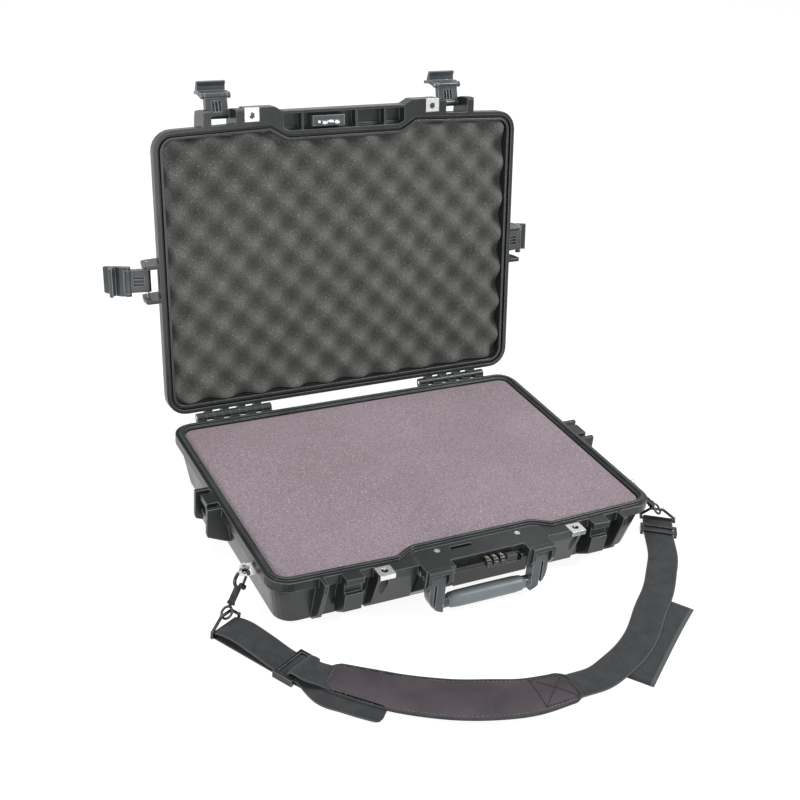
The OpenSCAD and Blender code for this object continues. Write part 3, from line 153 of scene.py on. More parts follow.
# ---- kinds of material ----
def moulded_plastic(name, dark, light, edge_highlight_colour, grain_mm, rough, depth=0.1, edge_mm=1.1):
    """Injection-moulded plastic: spark-eroded grain, satin gloss, and a painted highlight: the
    edges are painted lighter, in patches, as the light catches their small radius.

    grain_mm is the grain's width, drawn coarser than the real 0.1 mm so that it shows. rough is
    the least and greatest roughness, which varies as hands have worn the surface.
    """
    material, tree = start(name)
    place = add(tree, "TexCoord").outputs["Object"]
    round_normal, edge = rounded_edges(tree, edge_mm)
    # Broad patches: they vary the roughness, as hands leave it, and break up the painted edge
    # highlight
    handling_and_highlight_noise = add(tree, "TexNoise", Vector=place, Scale=spots(45.5), Detail=5,
                   Roughness=0.7)
    highlight_patches = add(tree, "Math", {"operation": "MULTIPLY"}, _0=handling_and_highlight_noise.outputs["Fac"], _1=1.4)
    # Painted highlight: the colour on the edges' radius goes lighter, in patches
    painted_edge_highlight = add(tree, "Math", {"operation": "MULTIPLY", "use_clamp": True}, _0=edge,
               _1=highlight_patches.outputs[0])
    colour = add(tree, "Mix", OVER, _0=painted_edge_highlight.outputs[0],
                 _6=mottled(tree, place, dark, light, 71.4), _7=linear(edge_highlight_colour))
    grain = add(tree, "TexNoise", Vector=place, Scale=spots(grain_mm), Detail=2, Roughness=0.5)
    gloss = add(tree, "MapRange", Value=handling_and_highlight_noise.outputs["Fac"], From_Min=0.3, From_Max=0.7,
                To_Min=rough[0], To_Max=rough[1])
    bump = add(tree, "Bump", Strength=depth, Distance=0.4 * MM, Height=grain.outputs["Fac"],
               Normal=round_normal)
    return finished(material, Base_Color=colour.outputs[2], Normal=bump.outputs[0],
                    Roughness=gloss.outputs[0], IOR=1.49)


def open_cell_foam(name, dark, light, speck, cell_mm=2.2, depth=0.7, dimple_shade=1.0):
    """Cut polyurethane foam, without gloss, in clouds 111 mm wide.

    Its cells, really 0.5 mm wide, are drawn 1.3 to 2.2 mm wide so that they show. Where the mesh
    says that it is sunk, the colour is painted darker, down to the share given for the dimples:
    painted shade, standing in for the light that fails at the bottom of a dimple.
    """
    material, tree = start(name)
    place = add(tree, "TexCoord").outputs["Object"]
    cells = add(tree, "TexVoronoi", Vector=place, Scale=spots(cell_mm), Randomness=1)
    fine = add(tree, "TexNoise", Vector=place, Scale=spots(1.3), Detail=3, Roughness=0.7)
    tone = mottled(tree, place, dark, light, 2.083, 0.3, 0.7, 3)
    cloudy = add(tree, "TexNoise", Vector=place, Scale=spots(111), Detail=3, Roughness=0.5)
    shade = add(tree, "MapRange", Value=cloudy.outputs["Fac"], From_Min=0.3, From_Max=0.7,
                To_Min=0.9, To_Max=1.08)
    cloud = add(tree, "Mix", TIMES, _0=1.0, _6=tone, _7=shade.outputs[0])
    # Painted glints: small bright specks where cut cells catch the light
    glints = add(tree, "TexNoise", Vector=place, Scale=spots(1.6), Detail=0)
    bright = add(tree, "MapRange", Value=glints.outputs["Fac"], From_Min=0.7, From_Max=0.78,
                 To_Min=0.0, To_Max=0.8)
    specked = add(tree, "Mix", OVER, _0=bright.outputs[0], _6=cloud.outputs[2], _7=linear(speck))
    # Painted shade: darker where the mesh is sunk, towards the bottom of each dimple
    sunk = add(tree, "Attribute", {"attribute_name": "sunk"})
    shaded = add(tree, "MapRange", Value=sunk.outputs["Fac"], To_Min=1.0, To_Max=dimple_shade)
    colour = add(tree, "Mix", TIMES, _0=1.0, _6=specked.outputs[2], _7=shaded.outputs[0])
    height = add(tree, "Math", {"operation": "MULTIPLY_ADD"}, _0=cells.outputs["Distance"],
                 _1=0.6, _2=fine.outputs["Fac"])
    bump = add(tree, "Bump", Strength=depth, Distance=0.8 * MM, Height=height.outputs[0])
    return finished(material, Base_Color=colour.outputs[2], Normal=bump.outputs[0],
                    Roughness=0.95, Specular_IOR_Level=0.12, Sheen_Weight=0.08,
                    Sheen_Roughness=0.6)


def polished_metal(name, dark, light, rough):
    """Rolled, tumbled or plated metal: bright, with a grain that runs across the sheet.

    The grain, really 0.05 mm wide, is drawn 0.5 mm wide and 6 mm long so that it shows.
    """
    material, tree = start(name)
    place = add(tree, "TexCoord").outputs["Object"]
    stretch = add(tree, "Mapping", Vector=place, Scale=(1, 12, 12))
    grain = add(tree, "TexNoise", Vector=stretch.outputs[0], Scale=spots(6), Detail=3,
                Roughness=0.6)
    gloss = add(tree, "MapRange", Value=grain.outputs["Fac"], From_Min=0.3, From_Max=0.7,
                To_Min=rough * 0.8, To_Max=rough * 1.3)
    edge = add(tree, "Bevel", {"samples": 4}, Radius=0.5 * MM)
    bump = add(tree, "Bump", Strength=0.08, Distance=0.1 * MM, Height=grain.outputs["Fac"],
               Normal=edge.outputs[0])
    return finished(material, Base_Color=mottled(tree, place, dark, light, 16.7),
                    Normal=bump.outputs[0], Roughness=gloss.outputs[0], Metallic=1.0)


def woven_cloth(name, dark, light, selvedge=None, half_mm=19, thread_mm=1.5, depth=0.35):
    """Woven synthetic yarn, fuzzed in patches 17 mm wide, with a paler selvedge.

    thread_mm is the threads' width, drawn coarser than the real 0.5 mm so that they show. The
    weave follows the strap through its UV map, which is in metres.
    """
    material, tree = start(name)
    place = add(tree, "TexCoord").outputs["UV"]
    across = add(tree, "TexWave", {"bands_direction": "X"}, Vector=place,
                 Scale=ribs(thread_mm), Distortion=0.4, Detail=1)
    lengthways = add(tree, "TexWave", {"bands_direction": "Y"}, Vector=place,
                     Scale=ribs(thread_mm * 1.4), Distortion=0.6, Detail=1)
    weave = add(tree, "Math", {"operation": "MULTIPLY"}, _0=across.outputs["Fac"],
                _1=lengthways.outputs["Fac"])
    fuzz = add(tree, "TexNoise", Vector=add(tree, "TexCoord").outputs["Object"],
               Scale=spots(16.7), Detail=6, Roughness=0.7)
    blend = add(tree, "Math", {"operation": "MULTIPLY_ADD"}, _0=weave.outputs[0], _1=0.3,
                _2=fuzz.outputs["Fac"])
    colour = add(tree, "ValToRGB", {"stops": ((0.35, dark), (1.0, light))},
                 Fac=blend.outputs[0]).outputs["Color"]
    if selvedge:
        side = add(tree, "Math", {"operation": "ABSOLUTE"},
                   _0=add(tree, "SeparateXYZ", Vector=place).outputs[0])
        rim = add(tree, "MapRange", Value=side.outputs[0], From_Min=(half_mm - 1.8) * MM,
                  From_Max=(half_mm - 0.9) * MM, To_Min=0.0, To_Max=0.7)
        colour = add(tree, "Mix", OVER, _0=rim.outputs[0], _6=colour,
                     _7=linear(selvedge)).outputs[2]
    bump = add(tree, "Bump", Strength=depth, Distance=0.4 * MM, Height=weave.outputs[0])
    return finished(material, Base_Color=colour, Normal=bump.outputs[0], Roughness=0.85,
                    Specular_IOR_Level=0.25, Sheen_Weight=0.2, Sheen_Roughness=0.5)


def coated_cloth(name, dark, light, rough=0.6):
    """Nylon cloth with a soft coating: creases about 38 mm apart, and a dull shine.

    The twill, really 0.3 mm wide, is drawn 2 mm wide so that it shows: diagonal ribs come out
    wider than ribs takes them, by the root of two.
    """
    material, tree = start(name)
    place = add(tree, "TexCoord").outputs["Object"]
    turned = add(tree, "Mapping", Vector=place, Rotation=(0, 0, 0.6))
    twill = add(tree, "TexWave", {"bands_direction": "DIAGONAL"}, Vector=turned.outputs[0],
                Scale=ribs(1.4), Distortion=0.8, Detail=2)
    creases = add(tree, "TexNoise", Vector=place, Scale=spots(38.5), Detail=6, Roughness=0.62,
                  Distortion=0.8)
    height = add(tree, "Math", {"operation": "MULTIPLY_ADD"}, _0=twill.outputs["Fac"], _1=0.1,
                 _2=creases.outputs["Fac"])
    bump = add(tree, "Bump", Strength=0.35, Distance=1.6 * MM, Height=height.outputs[0])
    return finished(material, Base_Color=mottled(tree, place, dark, light, 58.8, 0.3, 0.7, 5),
                    Normal=bump.outputs[0], Roughness=rough, Specular_IOR_Level=0.3,
                    Sheen_Weight=0.15, Sheen_Roughness=0.45)


# ---- materials, each named for what the real one is ----
# Shells and lock cover: satin black, walls lit by the floor, every edge painted lighter as a
# highlight
SHELL = moulded_plastic("moulded polypropylene, black", "#1b1e1f", "#282b2b", "#7e8384",
                        grain_mm=0.9, rough=(0.24, 0.36), edge_mm=1.8)
# Latches, handle frame and hasp plate: smoother than the shell, with bright outlines painted on as
# highlights
NYLON = moulded_plastic("glass-filled nylon, black", "#33373a", "#4d5154", "#c6cacb",
                        grain_mm=0.6, rough=(0.15, 0.25), depth=0.06, edge_mm=1.5)
# Lock body and button: the darkest plastic, set back in its recess, with highlights painted on its
# edges
LOCK_NYLON = moulded_plastic("nylon, near black", "#0e0f10", "#161819", "#a5aaac",
                             grain_mm=0.6, rough=(0.16, 0.26), depth=0.05, edge_mm=0.9)
# Adjuster and triglide of the strap: slippery black, with light edges painted on as highlights
ACETAL = moulded_plastic("acetal, black", "#1e2021", "#2b2e30", "#a3a7a9",
                         grain_mm=0.5, rough=(0.2, 0.32), depth=0.05, edge_mm=1.2)
# Handle grip: soft silver grey with a broad, quiet highlight, and a faint highlight painted on its
# edges
GRIP_RUBBER = moulded_plastic("thermoplastic rubber, silver grey", "#5d6568", "#697174", "#767e80",
                              grain_mm=0.7, rough=(0.34, 0.44), depth=0.05)
# Pressure valve's cap: a small spot of dark red, its edges painted lighter as a highlight
VALVE = moulded_plastic("moulded cap, dark red", "#6e1a22", "#8c2a33", "#a04a50",
                        grain_mm=0.6, rough=(0.3, 0.4))
# Number dials: black wheels with highlights painted on the edges of their notches
DIAL_NYLON = moulded_plastic("nylon dial, black", "#101112", "#17181a", "#8f9395",
                             grain_mm=0.5, rough=(0.2, 0.3), depth=0.04, edge_mm=0.5)
# Seal in the lid's groove: a matt black line, with a faint highlight painted on its edges
NEOPRENE = moulded_plastic("neoprene cord, black", "#121314", "#191a1b", "#2c2e2f",
                           grain_mm=0.5, rough=(0.4, 0.5))
# Lid lining: dull grey, with painted shade in its dimples and a few painted glints
LID_FOAM = open_cell_foam("open-cell foam, grey", "#4e4e4c", "#6a6a67", "#92928f", dimple_shade=0.55)
# Base lining: pale mauve grey with a fine glitter of cut cells, painted on as glints
BASE_FOAM = open_cell_foam("open-cell foam, mauve grey", "#76696f", "#95888e", "#bdb3b8",
                           cell_mm=2.0, depth=0.5)
# Padlock plates, lugs, screws and pins: bright and a little blurred
STEEL = polished_metal("stainless steel, tumbled", "#e2e3e4", "#f2f2f3", 0.24)
# Hasp loops: a mirror
CHROME = polished_metal("chromed steel", "#eceded", "#f8f8f8", 0.12)
# Strap hooks, swivels and loops: dark metal with sharp highlights
HOOK_METAL = polished_metal("nickel-plated zinc, smoked", "#3a3a38", "#57565a", 0.28)
# Webbing: dull black with a faint weave and paler edges
WEBBING = woven_cloth("polyester webbing, black", "#1c1e20", "#3b3e40", "#505355")
# Shoulder pad: brown-black, smooth, with cloudy creases; its broad mottling is partly uneven tone
# and partly painted sheen
PAD_CLOTH = coated_cloth("coated nylon cover, dark", "#2a2428", "#453c43")
# Tape round the pad: fuzzy dark grey
BINDING = woven_cloth("binding tape, dark grey", "#2a2b2c", "#454647", half_mm=3, thread_mm=1.0,
                      depth=0.4)
# Stitches along the pad's edge, and those of the sewn box
PALE_THREAD = coated_cloth("sewing thread, grey", "#5f5b58", "#76726e", 0.8)
DARK_THREAD = coated_cloth("sewing thread, black", "#141315", "#1d1c1e", 0.8)
# Figures on the dials
DIAL_INK = coated_cloth("printing ink, cream", "#cdc2a6", "#e0d6bc", 0.5)

SLOT_MATERIALS = {
    "shell": SHELL, "latch_plastic": NYLON, "lock_plastic": LOCK_NYLON, "buckle_plastic": ACETAL,
    "grip_rubber": GRIP_RUBBER, "valve": VALVE, "dial": DIAL_NYLON, "lid_foam": LID_FOAM,
    "base_foam": BASE_FOAM, "seal_rubber": NEOPRENE, "bright_steel": STEEL, "chrome": CHROME,
    "hook_metal": HOOK_METAL, "webbing": WEBBING, "pad_fabric": PAD_CLOTH,
}

for part in frame["record"]["subparts"]:
    node = frame["nodes"][part["node"]]
    node.data.materials.clear()
    node.data.materials.append(SLOT_MATERIALS[part["material_slot"]])


# ---- mesh helpers ----
def mesh_piece(name, points, faces, material, uvs=None, smooth=True):
    """A new mesh object from points in millimetres; uvs are per point, in metres."""
    mesh = bpy.data.meshes.new(name)
    mesh.from_pydata([Vector(p) * MM for p in points], [], faces)
    if uvs is not None:
        layer = mesh.uv_layers.new(name="cloth")
        for loop in mesh.loops:
            layer.data[loop.index].uv = uvs[loop.vertex_index]
    mesh.update()
    if smooth:
        mesh.polygons.foreach_set("use_smooth", [True] * len(mesh.polygons))
    mesh.materials.append(material)
    piece = bpy.data.objects.new(name, mesh)
    bpy.context.scene.collection.objects.link(piece)
    return piece


def opened(p):
    """A point of the shut lid, swung to where the open lid has it."""
    return Matrix.Rotation(-LID_OPEN, 3, "X") @ (Vector(p) - HINGE) + HINGE


def grid_faces(columns, rows, wrap=False):
    """Quads between neighbouring points of a grid stored column by column."""
    faces = []
    for i in range(columns - 1):
        for j in range(rows if wrap else rows - 1):
            k = (j + 1) % rows
            faces.append((i * rows + j, (i + 1) * rows + j, (i + 1) * rows + k, i * rows + k))
    return faces


def capped_tube_faces(columns, rows):
    """Faces of a closed tube whose cross-sections of as many points as rows lie one by one."""
    return (grid_faces(columns, rows, wrap=True)
            + [tuple(range(rows)), tuple(reversed(range((columns - 1) * rows, columns * rows)))])


def sideways(tangent, otherwise):
    """The level direction across a path, or otherwise where the path runs straight up."""
    side = tangent.cross(UPRIGHT)
    return side.normalized() if side.length > 1e-4 else otherwise


def distances_along(places):
    """How far each place lies along the path through all of them."""
    reach = [0.0]
    for a, b in zip(places, places[1:]):
        reach.append(reach[-1] + (b - a).length)
    return reach


# ---- foam linings ----
FOAM_CORNER_R = 14
FOAM_COLUMNS, FOAM_ROWS = 200, 146
# Share by which columns and rows crowd towards the edges
CROWD_X, CROWD_Y = 0.35, 0.3
# The face's edge falls by FOAM_FALL over the last FOAM_EDGE
FOAM_FALL, FOAM_EDGE = 1.8, 4
# Depths below the face, and the share by which the block is narrower there
FOAM_SIDE = ((16.0, 0.002), (20.0, 0.006))
FOAM_BOTTOM_TAPER = 0.015
# Dimples of the lid foam: one of them, their distances, and their turn against the case
DIMPLE_AT = (-128.3, -53.0)
DIMPLE_PITCH = (48.6, 49.7)
DIMPLE_TURN = math.radians(-1.5)
DIMPLE_DEPTH = 13


def corner_drop(x, half, radius):
    """How far a rounded corner draws the edge back at x."""
    over = max(0.0, abs(x) - (half - radius))
    return radius - math.sqrt(max(0.0, radius * radius - over * over))


def front_edge(x, inset):
    """Front edge of a lining, which follows the notch in the flange."""
    x = abs(x)
    floor = FRONT_Y - BOW + NOTCH_DEPTH + inset
    shoulder = FRONT_Y - BOW + inset
    inner, outer = NOTCH_X + 0.2 * inset, SHOULDER_X + 0.2 * inset
    if x <= inner:
        edge = floor
    elif x <= outer:
        t = (x - inner) / (outer - inner)
        edge = floor + (shoulder - floor) * (3 * t * t - 2 * t * t * t)
    else:
        edge = shoulder + BOW * (x - outer) / (CASE_W / 2 - outer)
    return edge


def foam_block(name, material, inset, face_z, deep_z, sink, place, body, node):
    """A foam lining: its open face sunk by sink(x, y), rounded into straight sides."""
    half = CASE_W / 2 - inset
    points, sinks = [], []
    depth_sign = 1 if deep_z > face_z else -1
    for i in range(FOAM_COLUMNS):
        u = -1 + 2 * i / (FOAM_COLUMNS - 1)
        x = half * (math.sin(u * math.pi / 2) * CROWD_X + u * (1 - CROWD_X))
        x = max(-half, min(half, x))
        near = front_edge(x, inset) + corner_drop(x, half, FOAM_CORNER_R)
        far = BACK_Y - inset - corner_drop(x, half, FOAM_CORNER_R)
        for j in range(FOAM_ROWS):
            v = j / (FOAM_ROWS - 1)
            v = v * (1 - CROWD_Y) + CROWD_Y * (0.5 - 0.5 * math.cos(math.pi * v))
            y = near + (far - near) * v
            rim = min(half - abs(x), y - near, far - y)
            fall = FOAM_FALL * max(0.0, 1 - rim / FOAM_EDGE) ** 2
            sinks.append(sink(x, y))
            points.append(place((x, y, face_z + depth_sign * (fall + sinks[-1]))))
    faces = grid_faces(FOAM_COLUMNS, FOAM_ROWS)
    rows, columns = FOAM_ROWS, FOAM_COLUMNS
    ring = ([i * rows for i in range(columns)]
            + [(columns - 1) * rows + j for j in range(1, rows)]
            + [i * rows + rows - 1 for i in range(columns - 2, -1, -1)]
            + [j for j in range(rows - 2, 0, -1)])
    tops = [Vector(points[k]) for k in ring]
    centre = Vector(place((0, 0, face_z)))
    down = (Vector(place((0, 0, deep_z))) - centre).normalized()
    count = len(ring)
    for depth, taper in (*FOAM_SIDE, (abs(deep_z - face_z), FOAM_BOTTOM_TAPER)):
        new_ring = list(range(len(points), len(points) + count))
        for top in tops:
            flat = top - centre
            flat -= down * flat.dot(down)
            points.append(centre + down * depth + flat * (1 - taper))
        faces += [(ring[k], ring[(k + 1) % count], new_ring[(k + 1) % count], new_ring[k])
                  for k in range(count)]
        ring = new_ring
    faces.append(tuple(reversed(ring)))
    piece = mesh_piece(name, points, faces, material)
    # Share of the dimples' depth at each point, by which the material paints shade into them
    depths = [min(1.0, max(0.0, depth / DIMPLE_DEPTH)) for depth in sinks]
    sunk = piece.data.attributes.new("sunk", "FLOAT", "POINT")
    sunk.data.foreach_set("value", depths + [0.0] * (len(points) - len(depths)))
    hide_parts(node)
    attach(piece, body)


def egg_crate(x, y):
    """How far the waved face lies below its peaks."""
    dx, dy = x - DIMPLE_AT[0], y - DIMPLE_AT[1]
    s = dx * math.cos(DIMPLE_TURN) + dy * math.sin(DIMPLE_TURN)
    t = dy * math.cos(DIMPLE_TURN) - dx * math.sin(DIMPLE_TURN)
    wave = (math.cos(2 * math.pi * s / DIMPLE_PITCH[0])
            * math.cos(2 * math.pi * t / DIMPLE_PITCH[1]))
    drift = 0.35 * math.sin(x / 31 + 1.3) * math.sin(y / 27)
    return DIMPLE_DEPTH * (0.5 + 0.5 * wave) + drift


def nearly_flat(x, y):
    """A cut face with the faint sag of a foam block."""
    return 0.25 * (1 + math.sin(x / 70 + 0.4) * math.cos(y / 55))


foam_block("waved_lid_foam", LID_FOAM, FOAM_INSET + 0.3, LID_Z + 1.0, TOP_Z - 24, egg_crate,
           opened, "lid", "lid_foam")
foam_block("flat_base_foam", BASE_FOAM, FOAM_INSET + 0.4, BASE_H - 1.1, 22, nearly_flat,
           Vector, "base", "base_foam")


# ---- strap ----
WEB_W = 38
WEB_T = 1.8
# A visible strap is this much narrower than its solid
WEB_SLIM = 0.4
# Bars of the left and right strap loops: their middles, the runs' headings, and the bars' height
BAR = (Vector((-295.39, -152.30)), Vector((303.40, -139.09)))
RUN = (math.radians(-62), math.radians(-124))
BAR_Z = 3.9
# Undersides of webbing that lies on another layer, and of the layer over the adjuster's bar
LOW = WEB_T + 0.3
UPPER = 3.9
LEFT_RUN = 90
RIGHT_RUN = 34
# Adjuster: the distance of its middle from the left bar, and its top
SLIDE_AT = 101
SLIDE_TOP = 8
# Bulge of the left webbing's upper layer, and where along the run it has what share of it
SLACK = 7
BULGE = ((0.12, 0.8), (0.3, 1.0), (0.6, 0.6), (0.85, 0.1), (1.0, 0.0))

# Routes on the floor, from left to right or from the case outwards: each point is a share of the
# case's width and a distance before its front
TAIL = [(-0.457, 108), (-0.429, 124), (-0.402, 138), (-0.368, 154)]
RIGHT = [(0.516, 24), (0.471, 52), (0.414, 84), (0.35, 112), (0.283, 144),
         (0.227, 164), (0.17, 178), (0.106, 190), (0.044, 192)]
SEWN_END = [(0.01, 192)]
PAD_WEB = [(-0.463, 80), (-0.437, 87), (-0.395, 104)]
FLAP = [(0.428, 110), (0.366, 132), (0.281, 164), (0.175, 205)]
FLAP_W = 44.6
PAD = [(-0.438, 83), (-0.366, 116), (-0.306, 140), (-0.224, 164), (-0.142, 180), (-0.066, 190),
       (0.036, 192)]
PAD_WIDTHS = [46, 56, 60, 62, 61.6, 56, 46]
# The raised loop: distances past the adjuster's middle with heights over its top, then the points
# at which it goes under the pad, with their heights over the same
LOOP_OVER_BAR = ((4, -0.8), (3, 1.4), (6, 4.2), (13, 5.6))
LOOP_TO_PAD = [(-0.465, 79), (-0.443, 85), (-0.42, 93)]
LOOP_FALL = (4.0, -1.5, -3.0)


def along(side, distance):
    """A plan point on the straight run of the webbing from its strap loop."""
    return BAR[side] + Vector((math.cos(RUN[side]), math.sin(RUN[side]))) * distance


def laid(places):
    """Plan points of a route on the floor."""
    return [Vector((share * CASE_W, FRONT_Y - reach)) for share, reach in places]


def at_height(plan, heights):
    """Plan points raised to the given heights."""
    return [Vector((p[0], p[1], z)) for p, z in zip(plan, heights)]


def smooth_path(points, steps=6):
    """Points of a smooth curve through the given ones."""
    out = []
    for k in range(len(points) - 1):
        p0 = points[max(0, k - 1)]
        p1, p2 = points[k], points[k + 1]
        p3 = points[min(len(points) - 1, k + 2)]
        for n in range(steps):
            t = n / steps
            out.append(0.5 * ((2 * p1) + (p2 - p0) * t + (2 * p0 - 5 * p1 + 4 * p2 - p3) * t * t
                              + (3 * p1 - p0 - 3 * p2 + p3) * t ** 3))
    out.append(points[-1])
    return out


def ribbon(name, path, width, thickness=WEB_T, edge=0.55, round_end=0.0):
    """A closed strap along 3-D centre points, its last corners rounded by round_end.

    The strap's edges are thinner than its middle by the share edge.
    """
    reach = distances_along(path)
    across = [-1, -0.94, -0.5, 0, 0.5, 0.94, 1]
    profile = [(t, 1) for t in across] + [(t, -1) for t in reversed(across)]
    points, uvs = [], []
    before = None
    for k, centre in enumerate(path):
        a, b = path[max(0, k - 1)], path[min(len(path) - 1, k + 1)]
        tangent = (b - a).normalized()
        side = sideways(tangent, before)
        if before and side.dot(before) < 0:
            side = -side
        before = side
        up = side.cross(tangent)
        half = width / 2
        left = reach[-1] - reach[k]
        if left < round_end:
            half -= round_end - math.sqrt(round_end ** 2 - (round_end - left) ** 2)
        for t, face in profile:
            swell = thickness / 2 * (edge if abs(t) == 1 else 1)
            points.append(centre + side * half * t + up * face * swell)
            uvs.append((half * t * MM, reach[k] * MM))
    return mesh_piece(name, points, capped_tube_faces(len(path), len(profile)), WEBBING, uvs)


def fold_over_bar(side, run, high, slack):
    """Centre line of webbing that runs in low, round the loop's bar and out again high."""
    middle = WEB_T / 2
    radius = BAR_Z - middle
    line = [(run, middle), (run * 0.6, middle), (run * 0.25, middle)]
    for n in range(7):
        a = math.radians(-90 - 30 * n)
        line.append((radius * math.cos(a), BAR_Z + radius * math.sin(a)))
    line += [(run * share, high + middle + slack * rise) for share, rise in BULGE]
    return [Vector((*along(side, d), z)) for d, z in line]


def left_webbing():
    """From the left loop through the adjuster, with a free tail that has rounded corners."""
    middle = WEB_T / 2
    line = fold_over_bar(0, LEFT_RUN, UPPER, SLACK)
    line += [Vector((*along(0, SLIDE_AT + 10), UPPER + middle)),
             Vector((*along(0, SLIDE_AT + 22), LOW + middle))]
    line += at_height(laid(TAIL), [LOW + middle] * len(TAIL))
    piece = ribbon("left_webbing", smooth_path(line, 7), WEB_W - WEB_SLIM, round_end=8)
    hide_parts("web_left")
    return piece


def right_webbing():
    """From the right loop along the floor, its last stretch sewn into the pad."""
    line = fold_over_bar(1, RIGHT_RUN, LOW, WEB_T)
    line += at_height(laid(RIGHT), [LOW + WEB_T / 2] * (len(RIGHT) - 1) + [LOW + WEB_T])
    line += at_height(laid(SEWN_END), [LOW + WEB_T])
    piece = ribbon("right_webbing", smooth_path(line, 5), WEB_W - WEB_SLIM)
    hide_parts("web_right")
    return piece


# Height of the middle of webbing that lies flat on the floor
ON_FLOOR = WEB_T / 2 + 0.1


def pad_webbing():
    """Webbing sewn to the pad: a flat layer, and a raised loop over the adjuster's end bar."""
    low_line = [Vector((*along(0, SLIDE_AT + distance), ON_FLOOR)) for distance in (5, 13)]
    low_line += at_height(laid(PAD_WEB), [ON_FLOOR] * len(PAD_WEB))
    raised = [Vector((*along(0, SLIDE_AT + distance), SLIDE_TOP + rise))
              for distance, rise in LOOP_OVER_BAR]
    raised += at_height(laid(LOOP_TO_PAD), [SLIDE_TOP + rise for rise in LOOP_FALL])
    flat_layer = ribbon("pad_webbing", smooth_path(low_line), WEB_W - WEB_SLIM)
    loop = ribbon("pad_webbing_loop", smooth_path(raised, 6), WEB_W - 1.4, WEB_T + 0.3, edge=0.8)
    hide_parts("web_pad")
    return [flat_layer, loop]


def strap_flap_cloth():
    """The loose flap under the right webbing."""
    line = at_height(laid(FLAP), [ON_FLOOR] * len(FLAP))
    piece = ribbon("strap_flap_cloth", smooth_path(line), FLAP_W)
    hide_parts("strap_flap")
    return piece


for piece in (left_webbing(), right_webbing(), *pad_webbing(), strap_flap_cloth()):
    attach(piece, "base")


# ---- shoulder pad ----
# The cloth bulges from PAD_SEAM_Z by PAD_CROWN, keeps PAD_PINCH inside the outline, and draws in
# by END_PINCH more over the last END_LENGTH, getting lower over the last END_THIN
PAD_SEAM_Z = 4.4
PAD_CROWN = 3.2
PAD_PINCH = 1.2
END_PINCH, END_LENGTH, END_THIN = 7, 9, 6
# Underside of the pad where it lies on the strap's tail, left of TAIL_X, and elsewhere
ON_TAIL, PAD_CLEAR, TAIL_X = 4.3, 0.3, -170
# Cloth simulation: even mesh, pressure, frames, the most a point may move, and the height up to
# which the rim is held
VOXEL_MM, PRESSURE, FRAMES, CAP_MM, RIM_Z = 3.0, 3.0, 16, 3, 4.7


def swell_as_cloth(piece, held):
    """Blows a closed cover up as cloth; points where held(point) is true stay put."""
    even = piece.modifiers.new("even", "REMESH")
    even.mode = "VOXEL"
    even.voxel_size = VOXEL_MM * MM
    graph = bpy.context.evaluated_depsgraph_get()
    piece.data = bpy.data.meshes.new_from_object(piece.evaluated_get(graph))
    piece.modifiers.clear()
    before = np.empty(len(piece.data.vertices) * 3)
    piece.data.vertices.foreach_get("co", before)
    before = before.reshape(-1, 3)
    fixed = piece.vertex_groups.new(name="held")
    fixed.add([k for k, p in enumerate(before) if held(p)], 1.0, "REPLACE")
    cloth = piece.modifiers.new("cloth", "CLOTH")
    cloth.settings.quality = 6
    cloth.settings.tension_stiffness = 12
    cloth.settings.compression_stiffness = 6
    cloth.settings.bending_stiffness = 0.3
    cloth.settings.use_pressure = True
    cloth.settings.uniform_pressure_force = PRESSURE
    cloth.settings.effector_weights.gravity = 0
    cloth.settings.vertex_group_mass = "held"
    cloth.collision_settings.use_collision = False
    cloth.point_cache.frame_start = 1
    cloth.point_cache.frame_end = FRAMES
    for step in range(1, FRAMES + 1):
        bpy.context.scene.frame_set(step)
    graph = bpy.context.evaluated_depsgraph_get()
    after = np.empty(len(before) * 3)
    piece.evaluated_get(graph).data.vertices.foreach_get("co", after)
    after = after.reshape(-1, 3)
    piece.modifiers.clear()
    piece.vertex_groups.clear()
    bpy.context.scene.frame_set(1)
    move = after - before
    length = np.maximum(np.linalg.norm(move, axis=1, keepdims=True), 1e-9)
    after = before + move * np.minimum(1.0, CAP_MM * MM / length)
    after[:, 2] = np.maximum(after[:, 2], 0.05 * MM)
    piece.data.vertices.foreach_set("co", after.ravel())
    piece.data.update()


def subdivided(piece):
    """One smoothing subdivision, applied."""
    soft = piece.modifiers.new("soft", "SUBSURF")
    soft.levels = 1
    graph = bpy.context.evaluated_depsgraph_get()
    piece.data = bpy.data.meshes.new_from_object(piece.evaluated_get(graph))
    piece.modifiers.clear()
    piece.data.polygons.foreach_set("use_smooth", [True] * len(piece.data.polygons))


# Stations along the pad: x, y and the width there
pad_plan = smooth_path([Vector((p[0], p[1], w)) for p, w in zip(laid(PAD), PAD_WIDTHS)], 8)
LAST = len(pad_plan) - 1


def pad_point(k, t, margin=0.0):
    """Plan point of the pad at station k, across it by t from -1 to 1, less a margin in mm."""
    a = pad_plan[max(0, k - 1)].xy
    b = pad_plan[min(LAST, k + 1)].xy
    tangent = (b - a).normalized()
    normal = Vector((-tangent.y, tangent.x))
    return pad_plan[k].xy + normal * (pad_plan[k].z / 2 - margin) * t


def pad_floor(x):
    """Underside of the pad, which lies on the tail at its left end."""
    return ON_TAIL if x < TAIL_X else PAD_CLEAR


